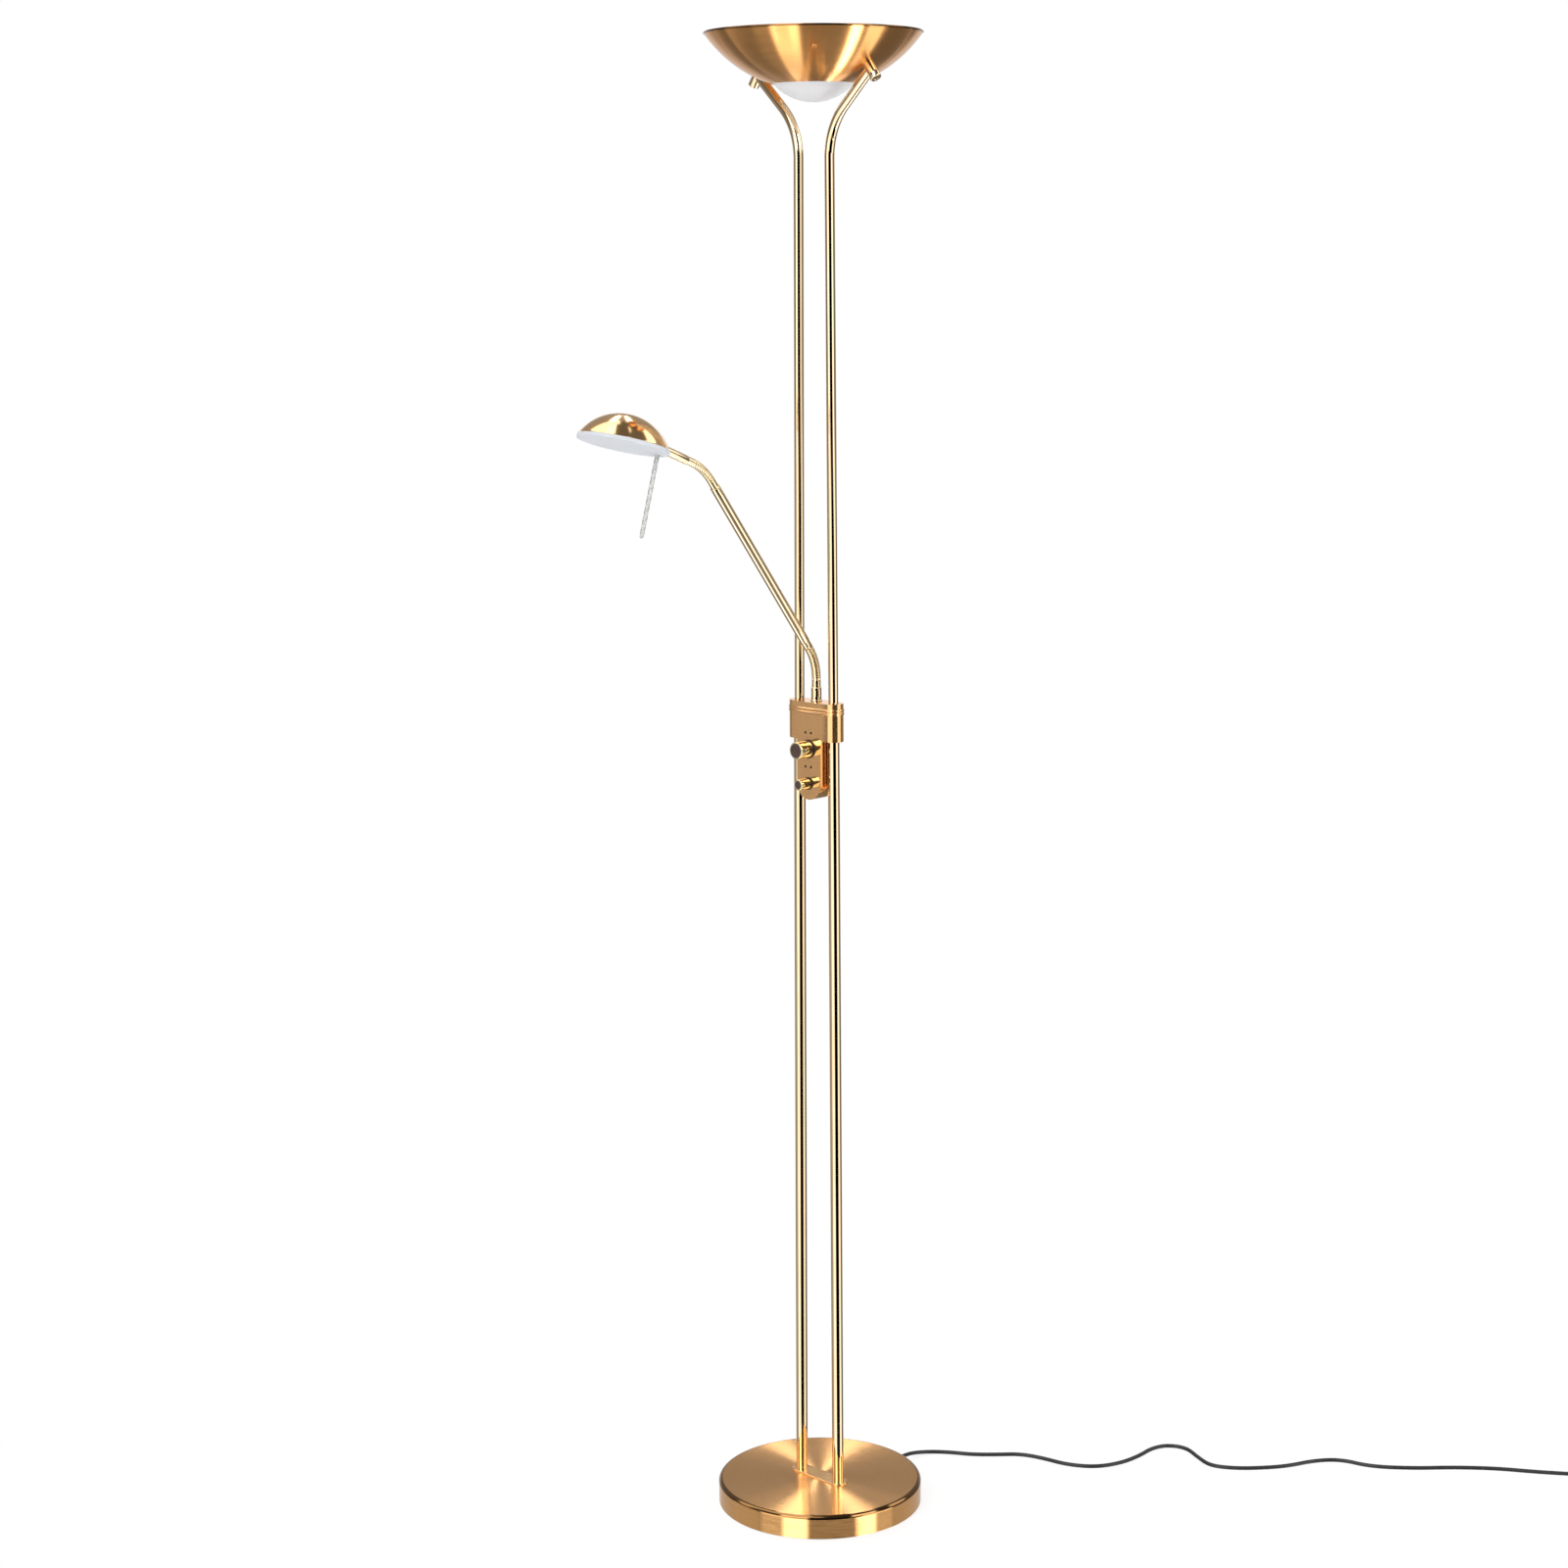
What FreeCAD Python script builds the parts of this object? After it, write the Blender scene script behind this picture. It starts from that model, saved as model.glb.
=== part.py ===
import FreeCAD
import Part
import Sketcher
import math
import os

# Torchiere floor lamp with a reading light, in millimetres.
# The origin is the middle of the base's underside, +Z is up, the two poles stand along X,
# the knobs and the reading arm face -Y, and the cord leaves towards +Y.

Vector = FreeCAD.Vector

SIZES = {
    # base, from the floor up
    "base_radius": 127.0,
    "base_height": 31.0,
    "base_edge_radius": 4.5,
    "cover_wall": 1.2,
    "skirt_gap": 1.4,
    "pad_thickness": 2.0,
    "pad_inset": 3.5,
    "plate_thickness": 2.0,
    "plate_clearance": 0.8,
    "weight_clearance": 8.0,
    "weight_thickness": 12.0,
    "boss_radius": 52.0,
    "recess_radius": 12.5,
    "recess_depth": 13.0,
    "screw_circle": 95.0,
    "screw_radius": 2.4,
    "screw_length": 10.0,
    "screw_head_radius": 4.6,
    "foot_plate_length": 87.0,
    "foot_plate_width": 24.0,
    "foot_plate_thickness": 1.6,
    "foot_plate_edge": 0.6,
    # poles
    "foot_half_spacing": 31.5,
    "housing_half_spacing": 28.5,
    "head_half_spacing": 25.3,
    "lower_pole_radius": 7.1,
    "upper_pole_radius": 5.9,
    "pole_wall": 1.0,
    "pole_join_height": 992.0,
    "upper_pole_rise": 664.0,
    "bend_radius": 80.0,
    "bend_angle": 46.5,
    "bend_run": 57.41,
    "plug_length": 22.0,
    "stud_radius": 4.9,
    "stud_bore": 3.4,
    "stud_reach": 16.0,
    "nut_radius": 9.2,
    "nut_thickness": 5.0,
    "washer_radius": 10.5,
    "washer_thickness": 1.4,
    "coupler_radius": 9.9,
    "coupler_below": 16.0,
    "coupler_above": 18.0,
    "grub_radius": 1.9,
    "grub_length": 2.4,
    # housing
    "housing_below_join": 22.0,
    "housing_height": 46.0,
    "housing_end_radius": 12.2,
    "housing_bulge": 2.4,
    "housing_wall": 1.6,
    "bead_drop": 8.2,
    "bead_pitch": 4.0,
    "bead_radius": 1.1,
    "bead_rise": 0.8,
    "tongue_half_width": 20.0,
    "tongue_back": 6.0,
    "back_thickness": 1.5,
    "back_screw_radius": 1.5,
    "main_knob_drop": 10.6,
    "knob_spacing": 42.1,
    "main_knob_radius": 10.4,
    "main_knob_length": 19.3,
    "main_ring_radius": 11.4,
    "reading_knob_radius": 6.6,
    "reading_knob_length": 15.9,
    "reading_ring_radius": 7.6,
    "ring_thickness": 1.6,
    "stud_reach": 2.0,
    "standoff_bite": 0.65,
    "rib_lead": 0.3,
    "ferrule_edge": 1.0,
    "clamp_ring_clearance": 1.2,
    "clamp_lug_margin": 1.0,
    "holder_grip_share": 0.6,
    "knob_edge": 0.8,
    "dimmer_step": 0.5,
    "shaft_end_gap": 1.0,
    "tongue_overlap": 8.0,
    "back_screw_offset": 1.5,
    "back_screw_low": 14.0,
    "back_screw_reach": 5.0,
    "ferrule_lip": 0.5,
    "tube_end_length": 8.0,
    "bore_margin": 2.0,
    "standoff_root": 6.0,
    "bracket_drop": 0.4,
    "bracket_overlap": 1.5,
    "rivet_head_height": 1.0,
    "holder_gap": 0.3,
    "relief_nut_length": 6.0,
    "relief_gap": 0.4,
    "relief_waist": 1.5,
    "relief_flange": 2.0,
    "tie_clearance": 1.2,
    "plug_rounding": 1.2,
    "knob_gap": 0.3,
    "knob_cap_thickness": 1.0,
    "knob_cap_inset": 0.9,
    "shaft_radius": 3.0,
    "bushing_radius": 4.4,
    "bushing_reach": 5.0,
    "dimmer_depth": 13.0,
    "dimmer_gap": 0.9,
    "dimmer_half_width": 12.0,
    "small_dimmer_half_width": 9.5,
    # reading arm
    "ferrule_radius": 6.3,
    "ferrule_height": 17.0,
    "spigot_radius": 4.9,
    "spigot_bore_radius": 4.95,
    "arm_bore": 3.2,
    "socket_nut_radius": 8.2,
    "socket_nut_thickness": 4.0,
    "lower_neck_radius": 5.4,
    "lower_neck_end": 10.8,
    "lower_neck_bend": 63.0,
    "arm_angle": 37.3,
    "arm_tube_radius": 5.95,
    "arm_tube_length": 241.0,
    "arm_tube_wall": 1.0,
    "upper_neck_radius": 4.9,
    "upper_neck_end": 9.8,
    "upper_neck_bend": 67.0,
    "head_angle": 69.0,
    "rib_pitch": 3.0,
    "rib_depth": 0.55,
    "neck_bore_radius": 3.1,
    "sleeve_radius": 5.35,
    "sleeve_length": 59.0,
    # reading head
    "disc_tilt": 16.0,
    "disc_beyond_sleeve": 40.072,
    "disc_above_sleeve": 3.222,
    "glass_disc_radius": 53.0,
    "glass_disc_thickness": 4.5,
    "dome_sphere_radius": 59.0,
    "dome_radius": 52.4,
    "dome_wall": 1.0,
    "clamp_ring_width": 7.0,
    "clamp_ring_thickness": 1.2,
    "handle_radius": 2.5,
    "handle_length": 93.0,
    "handle_x": 14.0,
    "handle_inboard": 40.5,
    "handle_nut_radius": 4.6,
    "handle_nut_thickness": 2.5,
    "lamp_base_radius": 6.0,
    "lamp_base_length": 14.0,
    "capsule_radius": 5.2,
    "capsule_length": 26.0,
    # bowl and its fittings
    "bowl_sphere_radius": 156.0,
    "bowl_height": 67.4,
    "bowl_wall": 1.2,
    "bowl_hole_radius": 50.0,
    "rim_bead_radius": 1.1,
    "standoff_angle": 34.340,
    "standoff_radius": 6.75,
    "standoff_length": 21.0,
    "standoff_edge": 1.0,
    "bowl_screw_radius": 2.4,
    "bowl_screw_length": 13.0,
    "bowl_screw_head": 4.5,
    "bowl_screw_head_height": 3.0,
    "dish_sphere_radius": 63.0,
    "dish_depth": 21.9,
    "dish_drop": 12.7,
    "dish_wall": 3.0,
    "dish_neck_radius": 47.0,
    "dish_flange_radius": 58.0,
    "rivet_at": 108.0,
    "rivet_radius": 2.8,
    "rivet_shank": 1.6,
    "bracket_width": 16.0,
    "bracket_thickness": 1.5,
    "bracket_tab": 16.0,
    "holder_length": 14.0,
    "holder_width": 18.0,
    "holder_height": 20.0,
    "lamp_radius": 5.5,
    "lamp_length": 100.0,
    "lamp_end_radius": 3.6,
    "lamp_end_length": 9.0,
    # cord
    "cord_radius": 2.5,
    "relief_height": 11.0,
    "relief_reach": 20.0,
    "relief_radius": 6.0,
    "relief_tip_radius": 3.4,
    "relief_bore_radius": 2.65,
    "coil_mean_radius": 27.5,
    "coil_pitch": 5.8,
    "coil_layer_turns": 2.5,
    "coil_height": 3.7,
    "plug_lead": 22.0,
    "tie_width": 8.0,
    "tie_wall": 0.7,
    "plug_width": 22.0,
    "plug_height": 14.0,
    "plug_body_length": 24.0,
    "blade_length": 16.0,
    "blade_width": 6.3,
    "blade_thickness": 1.5,
    "blade_half_spacing": 6.35,
    # general clearances
    "fit": 0.15,
    "seat_gap": 0.05,
}

doc = FreeCAD.newDocument("TorchiereLamp")
sheet = doc.addObject("Spreadsheet::Sheet", "Sizes")
for row, (alias, number) in enumerate(SIZES.items(), start=1):
    sheet.set("A%d" % row, alias)
    sheet.set("B%d" % row, str(number))
    sheet.setAlias("B%d" % row, alias)
doc.recompute()


class Size:
    """A length or a ratio that knows its number and the sheet expression behind it."""

    def __init__(self, text, number):
        self.text = text
        self.number = number

    def __add__(self, other):
        other = as_size(other)
        return Size("(%s + %s)" % (self.text, other.text), self.number + other.number)

    def __radd__(self, other):
        return as_size(other) + self

    def __sub__(self, other):
        other = as_size(other)
        return Size("(%s - %s)" % (self.text, other.text), self.number - other.number)

    def __rsub__(self, other):
        return as_size(other) - self

    def __mul__(self, other):
        other = as_size(other)
        return Size("(%s * %s)" % (self.text, other.text), self.number * other.number)

    def __rmul__(self, other):
        return as_size(other) * self

    def __truediv__(self, other):
        other = as_size(other)
        return Size("(%s / %s)" % (self.text, other.text), self.number / other.number)

    def __neg__(self):
        return Size("(0 - %s)" % self.text, -self.number)


def as_size(value):
    if isinstance(value, Size):
        return value
    return Size("(%.6f)" % value, float(value))


def root(value):
    return Size("sqrt(%s)" % value.text, math.sqrt(value.number))


def sine(angle):
    return Size("sin(%s)" % angle.text, math.sin(math.radians(angle.number)))


def cosine(angle):
    return Size("cos(%s)" % angle.text, math.cos(math.radians(angle.number)))


def arc_tangent(ratio):
    return Size("(atan(%s) / 1 deg)" % ratio.text, math.degrees(math.atan(ratio.number)))


def arc_sine(ratio):
    return Size("(asin(%s) / 1 deg)" % ratio.text, math.degrees(math.asin(ratio.number)))


class Sheet:
    """Each alias of the spreadsheet as a Size."""

    def __getattr__(self, alias):
        return Size("Sizes.%s" % alias, float(sheet.get(alias)))


at = Sheet()
zero = as_size(0.0)


# Helpers that make one feature each, with its sizes bound to the sheet

def bind(feature, name, value):
    value = as_size(value)
    setattr(feature, name, value.number)
    feature.setExpression(name, value.text)


def place(feature, x=0.0, y=0.0, z=0.0, axis=(0, 0, 1), angle=0.0):
    """Puts a feature at a point, turned about an axis through that point."""
    x = as_size(x)
    y = as_size(y)
    z = as_size(z)
    angle = as_size(angle)
    turn = FreeCAD.Rotation(Vector(*axis), angle.number)
    feature.Placement = FreeCAD.Placement(Vector(x.number, y.number, z.number), turn)
    feature.setExpression("Placement.Base.x", x.text)
    feature.setExpression("Placement.Base.y", y.text)
    feature.setExpression("Placement.Base.z", z.text)
    if angle.text != zero.text:
        feature.setExpression("Placement.Rotation.Angle", angle.text)
    return feature


def cylinder(name, radius, height):
    feature = doc.addObject("Part::Cylinder", name)
    bind(feature, "Radius", radius)
    bind(feature, "Height", height)
    return feature


def cone(name, low_radius, high_radius, height):
    feature = doc.addObject("Part::Cone", name)
    bind(feature, "Radius1", low_radius)
    bind(feature, "Radius2", high_radius)
    bind(feature, "Height", height)
    return feature


def sphere(name, radius):
    feature = doc.addObject("Part::Sphere", name)
    bind(feature, "Radius", radius)
    return feature


def torus(name, ring_radius, wire_radius):
    feature = doc.addObject("Part::Torus", name)
    bind(feature, "Radius1", ring_radius)
    bind(feature, "Radius2", wire_radius)
    return feature


def block(name, length, width, height):
    feature = doc.addObject("Part::Box", name)
    bind(feature, "Length", length)
    bind(feature, "Width", width)
    bind(feature, "Height", height)
    return feature


def cut(name, base, *tools):
    for number, tool in enumerate(tools):
        feature = doc.addObject("Part::Cut", "%s_cut%d" % (name, number))
        feature.Base = base
        feature.Tool = tool
        base = feature
    return base


def common(name, base, tool):
    feature = doc.addObject("Part::Common", name + "_common")
    feature.Base = base
    feature.Tool = tool
    return feature


def fuse(name, *pieces):
    feature = doc.addObject("Part::MultiFuse", name + "_fuse")
    feature.Shapes = list(pieces)
    return feature


def group(name, *pieces):
    """Several separate solids in one node."""
    feature = doc.addObject("Part::Compound", name + "_group")
    feature.Links = list(pieces)
    return feature


def origin_plane(body, role):
    for feature in body.Origin.OriginFeatures:
        if feature.Role == role:
            return feature
    raise RuntimeError("no plane " + role)


def draw(body, name, role, points, arcs=None, closed=True):
    """A sketch through the given points, whose places are bound to the sheet.
    arcs maps the number of a stretch to the radius of its arc and the side of its centre:
    +1 is the left of the way the outline runs, -1 the right."""
    arcs = arcs or {}
    sketch = body.newObject("Sketcher::SketchObject", name)
    sketch.AttachmentSupport = [(origin_plane(body, role), "")]
    sketch.MapMode = "FlatFace"
    points = [(as_size(x), as_size(y)) for x, y in points]
    count = len(points) if closed else len(points) - 1
    ends = []
    for number in range(count):
        x1, y1 = (value.number for value in points[number])
        x2, y2 = (value.number for value in points[(number + 1) % len(points)])
        if number in arcs:
            radius, side = arcs[number]
            radius = as_size(radius)
            half = math.hypot(x2 - x1, y2 - y1) / 2
            rise = math.sqrt(max(radius.number ** 2 - half ** 2, 0.0))
            nx = -(y2 - y1) / (2 * half) * side
            ny = (x2 - x1) / (2 * half) * side
            cx = (x1 + x2) / 2 + nx * rise
            cy = (y1 + y2) / 2 + ny * rise
            circle = Part.Circle(Vector(cx, cy, 0), Vector(0, 0, 1), radius.number)
            start = math.atan2(y1 - cy, x1 - cx)
            stop = math.atan2(y2 - cy, x2 - cx)
            if side < 0:
                start, stop = stop, start
            if stop < start:
                stop += 2 * math.pi
            geometry = sketch.addGeometry(Part.ArcOfCircle(circle, start, stop))
            ends.append((geometry, 1, 2) if side > 0 else (geometry, 2, 1))
            if rise < 1e-6:
                sketch.addConstraint(Sketcher.Constraint("Symmetric", geometry, 1, geometry, 2, geometry, 3))
            else:
                bound = sketch.addConstraint(Sketcher.Constraint("Radius", geometry, radius.number))
                sketch.setExpression("Constraints[%d]" % bound, radius.text)
        else:
            line = Part.LineSegment(Vector(x1, y1, 0), Vector(x2, y2, 0))
            ends.append((sketch.addGeometry(line), 1, 2))
    for number in range(count):
        if number + 1 < count or closed:
            geometry, start, stop = ends[number]
            following, begin, finish = ends[(number + 1) % count]
            sketch.addConstraint(Sketcher.Constraint("Coincident", geometry, stop, following, begin))
    for number, point in enumerate(points):
        if number < count:
            geometry, corner, other = ends[number]
        else:
            geometry, other, corner = ends[number - 1]
        for kind, axis, value in (("DistanceX", -2, point[0]), ("DistanceY", -1, point[1])):
            if abs(value.number) < 1e-9:
                sketch.addConstraint(Sketcher.Constraint("PointOnObject", geometry, corner, axis))
                continue
            if value.number > 0:
                rule = Sketcher.Constraint(kind, -1, 1, geometry, corner, value.number)
            else:
                value = -value
                rule = Sketcher.Constraint(kind, geometry, corner, -1, 1, value.number)
            bound = sketch.addConstraint(rule)
            sketch.setExpression("Constraints[%d]" % bound, value.text)
    return sketch


def add_circles(sketch, places):
    """Whole circles at (x, y, radius) on a sketch."""
    for x, y, radius in places:
        x = as_size(x)
        y = as_size(y)
        radius = as_size(radius)
        circle = Part.Circle(Vector(x.number, y.number, 0), Vector(0, 0, 1), radius.number)
        geometry = sketch.addGeometry(circle)
        bound = sketch.addConstraint(Sketcher.Constraint("Radius", geometry, radius.number))
        sketch.setExpression("Constraints[%d]" % bound, radius.text)
        for kind, axis, value in (("DistanceX", -2, x), ("DistanceY", -1, y)):
            if abs(value.number) < 1e-9:
                sketch.addConstraint(Sketcher.Constraint("PointOnObject", geometry, 3, axis))
                continue
            if value.number > 0:
                rule = Sketcher.Constraint(kind, -1, 1, geometry, 3, value.number)
            else:
                value = -value
                rule = Sketcher.Constraint(kind, geometry, 3, -1, 1, value.number)
            bound = sketch.addConstraint(rule)
            sketch.setExpression("Constraints[%d]" % bound, value.text)


def empty_sketch(body, name, role):
    sketch = body.newObject("Sketcher::SketchObject", name)
    sketch.AttachmentSupport = [(origin_plane(body, role), "")]
    sketch.MapMode = "FlatFace"
    return sketch


def turned(name, points, arcs=None):
    """A body turned about its own Z from a half outline of (radius, height) points."""
    body = doc.addObject("PartDesign::Body", name + "_body")
    sketch = draw(body, name + "_outline", "XZ_Plane", points, arcs)
    feature = body.newObject("PartDesign::Revolution", name + "_turn")
    feature.Profile = sketch
    feature.ReferenceAxis = (sketch, ["V_Axis"])
    feature.Angle = 360.0
    return body


def padded(name, points, arcs, thickness, role="XY_Plane", holes=(), middle=False):
    """A body pushed out from an outline, with round holes."""
    body = doc.addObject("PartDesign::Body", name + "_body")
    sketch = draw(body, name + "_outline", role, points, arcs)
    add_circles(sketch, holes)
    feature = body.newObject("PartDesign::Pad", name + "_pad")
    feature.Profile = sketch
    if middle:
        feature.Midplane = True
    bind(feature, "Length", thickness)
    return body


def bent_tube(name, points, arcs, outer, inner):
    """A tube swept along a path that starts at its own origin and runs up."""
    body = doc.addObject("PartDesign::Body", name + "_body")
    path = draw(body, name + "_path", "XZ_Plane", points, arcs, closed=False)
    section = empty_sketch(body, name + "_section", "XY_Plane")
    add_circles(section, [(0, 0, outer), (0, 0, inner)])
    feature = body.newObject("PartDesign::AdditivePipe", name + "_pipe")
    feature.Profile = section
    feature.Spine = path
    return body


parts = {}


def keep(name, feature):
    feature.Label = name
    parts[name] = feature
    return feature


# Heights and places that several pieces share

plate_bottom = at.pad_thickness
plate_top = plate_bottom + at.plate_thickness
recess_top = plate_top + at.recess_depth
cover_inside = at.base_height - at.cover_wall
foot_top = at.base_height + at.foot_plate_thickness
inner_lower_radius = at.lower_pole_radius - at.pole_wall
inner_upper_radius = at.upper_pole_radius - at.pole_wall
housing_bottom = at.pole_join_height - at.housing_below_join
housing_top = housing_bottom + at.housing_height
main_knob_height = housing_bottom - at.main_knob_drop
reading_knob_height = main_knob_height - at.knob_spacing
lower_rise = at.pole_join_height - foot_top
lower_lean = arc_tangent((at.foot_half_spacing - at.housing_half_spacing) / lower_rise)
upper_lean = arc_tangent((at.housing_half_spacing - at.head_half_spacing) / at.upper_pole_rise)

# The bowl sits where the poles' ends meet the axes of its two standoffs
bend_start_height = at.pole_join_height + at.seat_gap * 4 + at.upper_pole_rise
pole_end_x = (at.head_half_spacing + at.bend_radius * (cosine(upper_lean) - cosine(at.bend_angle))
              + at.bend_run * sine(at.bend_angle))
pole_end_height = (bend_start_height + at.bend_radius * (sine(upper_lean) + sine(at.bend_angle))
                   + at.bend_run * cosine(at.bend_angle))
bowl_centre = pole_end_height + pole_end_x * cosine(at.standoff_angle) / sine(at.standoff_angle)
bowl_bottom = bowl_centre - at.bowl_sphere_radius
rim_height = bowl_bottom + at.bowl_height
standoff_at = at.bowl_sphere_radius * sine(at.standoff_angle)
bowl_inside_radius = at.bowl_sphere_radius - at.bowl_wall
sides = {"left": -1.0, "right": 1.0}


def make_base():
    radius = at.base_radius
    edge = at.base_edge_radius
    wall = at.cover_wall
    low = at.skirt_gap
    high = at.base_height
    cover = turned(
        "base_cover",
        [
            (0, high - wall),
            (radius - edge, high - wall),
            (radius - wall, high - edge),
            (radius - wall, low),
            (radius, low),
            (radius, high - edge),
            (radius - edge, high),
            (0, high),
        ],
        {1: (edge - wall, -1), 5: (edge, 1)},
    )
    holes = []
    for side, sign in sides.items():
        hole = cylinder("cover_hole_" + side, at.stud_radius + at.fit, at.cover_wall * 3)
        place(hole, sign * at.foot_half_spacing, 0, high - wall * 2)
        holes.append(hole)
    cord_hole = cylinder("cover_cord_hole", at.relief_radius - at.relief_waist + at.fit / 2, at.base_edge_radius * 4)
    place(cord_hole, 0, radius - edge * 2, at.relief_height, (1, 0, 0), -90.0)
    keep("base_cover", cut("base_cover", cover, *holes, cord_hole))

    keep("base_pad", cylinder("base_pad_disc", radius - at.pad_inset, at.pad_thickness))

    plate = cylinder("plate_disc", radius - wall - at.plate_clearance, at.plate_thickness)
    place(plate, 0, 0, plate_bottom)
    weight = cylinder("weight_disc", radius - at.weight_clearance, at.weight_thickness)
    place(weight, 0, 0, plate_top)
    boss = cylinder("weight_boss", at.boss_radius, cover_inside - plate_top - at.seat_gap)
    place(boss, 0, 0, plate_top)
    plate_cuts = []
    weight_cuts = []
    screws = []
    for number in range(3):
        turn = 90.0 + 60.0 + 120.0 * number
        x = math.cos(math.radians(turn)) * at.screw_circle
        y = math.sin(math.radians(turn)) * at.screw_circle
        sink = cone("plate_sink%d" % number, at.screw_head_radius + at.fit,
                    at.screw_radius + at.fit, at.plate_thickness)
        place(sink, x, y, plate_bottom)
        plate_cuts.append(sink)
        hole = cylinder("weight_hole%d" % number, at.screw_radius + at.fit, at.screw_length)
        place(hole, x, y, plate_top)
        weight_cuts.append(hole)
        head = cone("screw_head%d" % number, at.screw_head_radius, at.screw_radius, at.plate_thickness)
        place(head, x, y, plate_bottom)
        shank = cylinder("screw_shank%d" % number, at.screw_radius,
                         at.plate_thickness + at.screw_length - at.fit)
        place(shank, x, y, plate_bottom)
        screws.append(fuse("screw%d" % number, head, shank))
    for side, sign in sides.items():
        recess = cylinder("recess_" + side, at.recess_radius, at.recess_depth)
        place(recess, sign * at.foot_half_spacing, 0, plate_top)
        bore = cylinder("weight_bore_" + side, at.stud_radius + at.fit, at.base_height)
        place(bore, sign * at.foot_half_spacing, 0, plate_top)
        weight_cuts.extend([recess, bore])
    notch = block("weight_notch", at.relief_radius * 3, at.base_radius / 5, at.weight_thickness * 2)
    place(notch, -1.5 * at.relief_radius, at.base_radius * 0.9, plate_top)
    channel = block("weight_channel", at.relief_radius, at.base_radius, at.relief_radius)
    place(channel, -0.5 * at.relief_radius, 0, plate_top)
    crossing = block("weight_crossing", at.foot_half_spacing, at.relief_radius, at.relief_radius)
    place(crossing, 0, -0.5 * at.relief_radius, plate_top)
    weight_cuts.extend([notch, channel, crossing])
    keep("base_plate", cut("base_plate", plate, *plate_cuts))
    body = fuse("base_weight_raw", weight, boss)
    keep("base_weight", cut("base_weight", body, *weight_cuts))
    keep("plate_screws", group("plate_screws", *screws))


def make_foot():
    half = (at.foot_plate_length - at.foot_plate_width) / 2
    radius = at.foot_plate_width / 2
    plate = padded(
        "foot_plate",
        [(-half, -radius), (half, -radius), (half, radius), (-half, radius)],
        {1: (radius, 1), 3: (radius, 1)},
        at.foot_plate_thickness,
        holes=[(-at.foot_half_spacing, 0, at.stud_radius + at.fit),
               (at.foot_half_spacing, 0, at.stud_radius + at.fit)],
    )
    doc.recompute()
    pad = plate.Tip
    rim = []
    top = SIZES["foot_plate_thickness"]
    for number, candidate in enumerate(pad.Shape.Edges, start=1):
        box = candidate.BoundBox
        round_hole = isinstance(candidate.Curve, Part.Circle) and candidate.Closed
        if abs(box.ZMin - top) < 1e-6 and abs(box.ZMax - top) < 1e-6 and not round_hole:
            rim.append("Edge%d" % number)
    edge = plate.newObject("PartDesign::Chamfer", "foot_plate_edge")
    edge.Base = (pad, rim)
    bind(edge, "Size", at.foot_plate_edge)
    plate.Tip = edge
    place(plate, 0, 0, at.base_height)
    keep("foot_plate", plate)

    plugs = []
    studs = []
    nuts = []
    washers = []
    for side, sign in sides.items():
        x = sign * at.foot_half_spacing
        plug = cylinder("plug_" + side, inner_lower_radius - at.seat_gap, at.plug_length)
        place(plug, x, 0, foot_top + at.seat_gap, (0, 1, 0), -sign * lower_lean)
        hole = cylinder("plug_hole_" + side, at.stud_radius + at.fit, at.base_height * 2)
        place(hole, x, 0, at.base_height)
        plugs.append(cut("pole_plug_" + side, plug, hole))
        washer = cylinder("washer_" + side, at.washer_radius, at.washer_thickness)
        washer_low = recess_top - at.washer_thickness - at.seat_gap
        place(washer, x, 0, washer_low)
        washer_hole = cylinder("washer_hole_" + side, at.stud_radius + at.fit, at.base_height)
        place(washer_hole, x, 0, plate_top)
        washers.append(cut("base_washer_" + side, washer, washer_hole))
        nut_low = washer_low - at.nut_thickness - at.seat_gap
        nut = doc.addObject("Part::Prism", "nut_" + side)
        nut.Polygon = 6
        bind(nut, "Circumradius", at.nut_radius)
        bind(nut, "Height", at.nut_thickness)
        place(nut, x, 0, nut_low)
        nut_hole = cylinder("nut_hole_" + side, at.stud_radius + at.fit, at.base_height)
        place(nut_hole, x, 0, plate_top)
        nuts.append(cut("base_nut_" + side, nut, nut_hole))
        stud_low = nut_low - at.stud_reach
        stud = cylinder("stud_" + side, at.stud_radius, foot_top + at.stud_reach - stud_low)
        place(stud, x, 0, stud_low)
        bore = cylinder("stud_bore_" + side, at.stud_bore, at.base_height * 3)
        place(bore, x, 0, 0)
        studs.append(cut("pole_stud_" + side, stud, bore))
    keep("pole_plugs", group("pole_plugs", *plugs))
    keep("pole_studs", group("pole_studs", *studs))
    keep("base_nuts", group("base_nuts", *nuts))
    keep("base_washers", group("base_washers", *washers))


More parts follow.
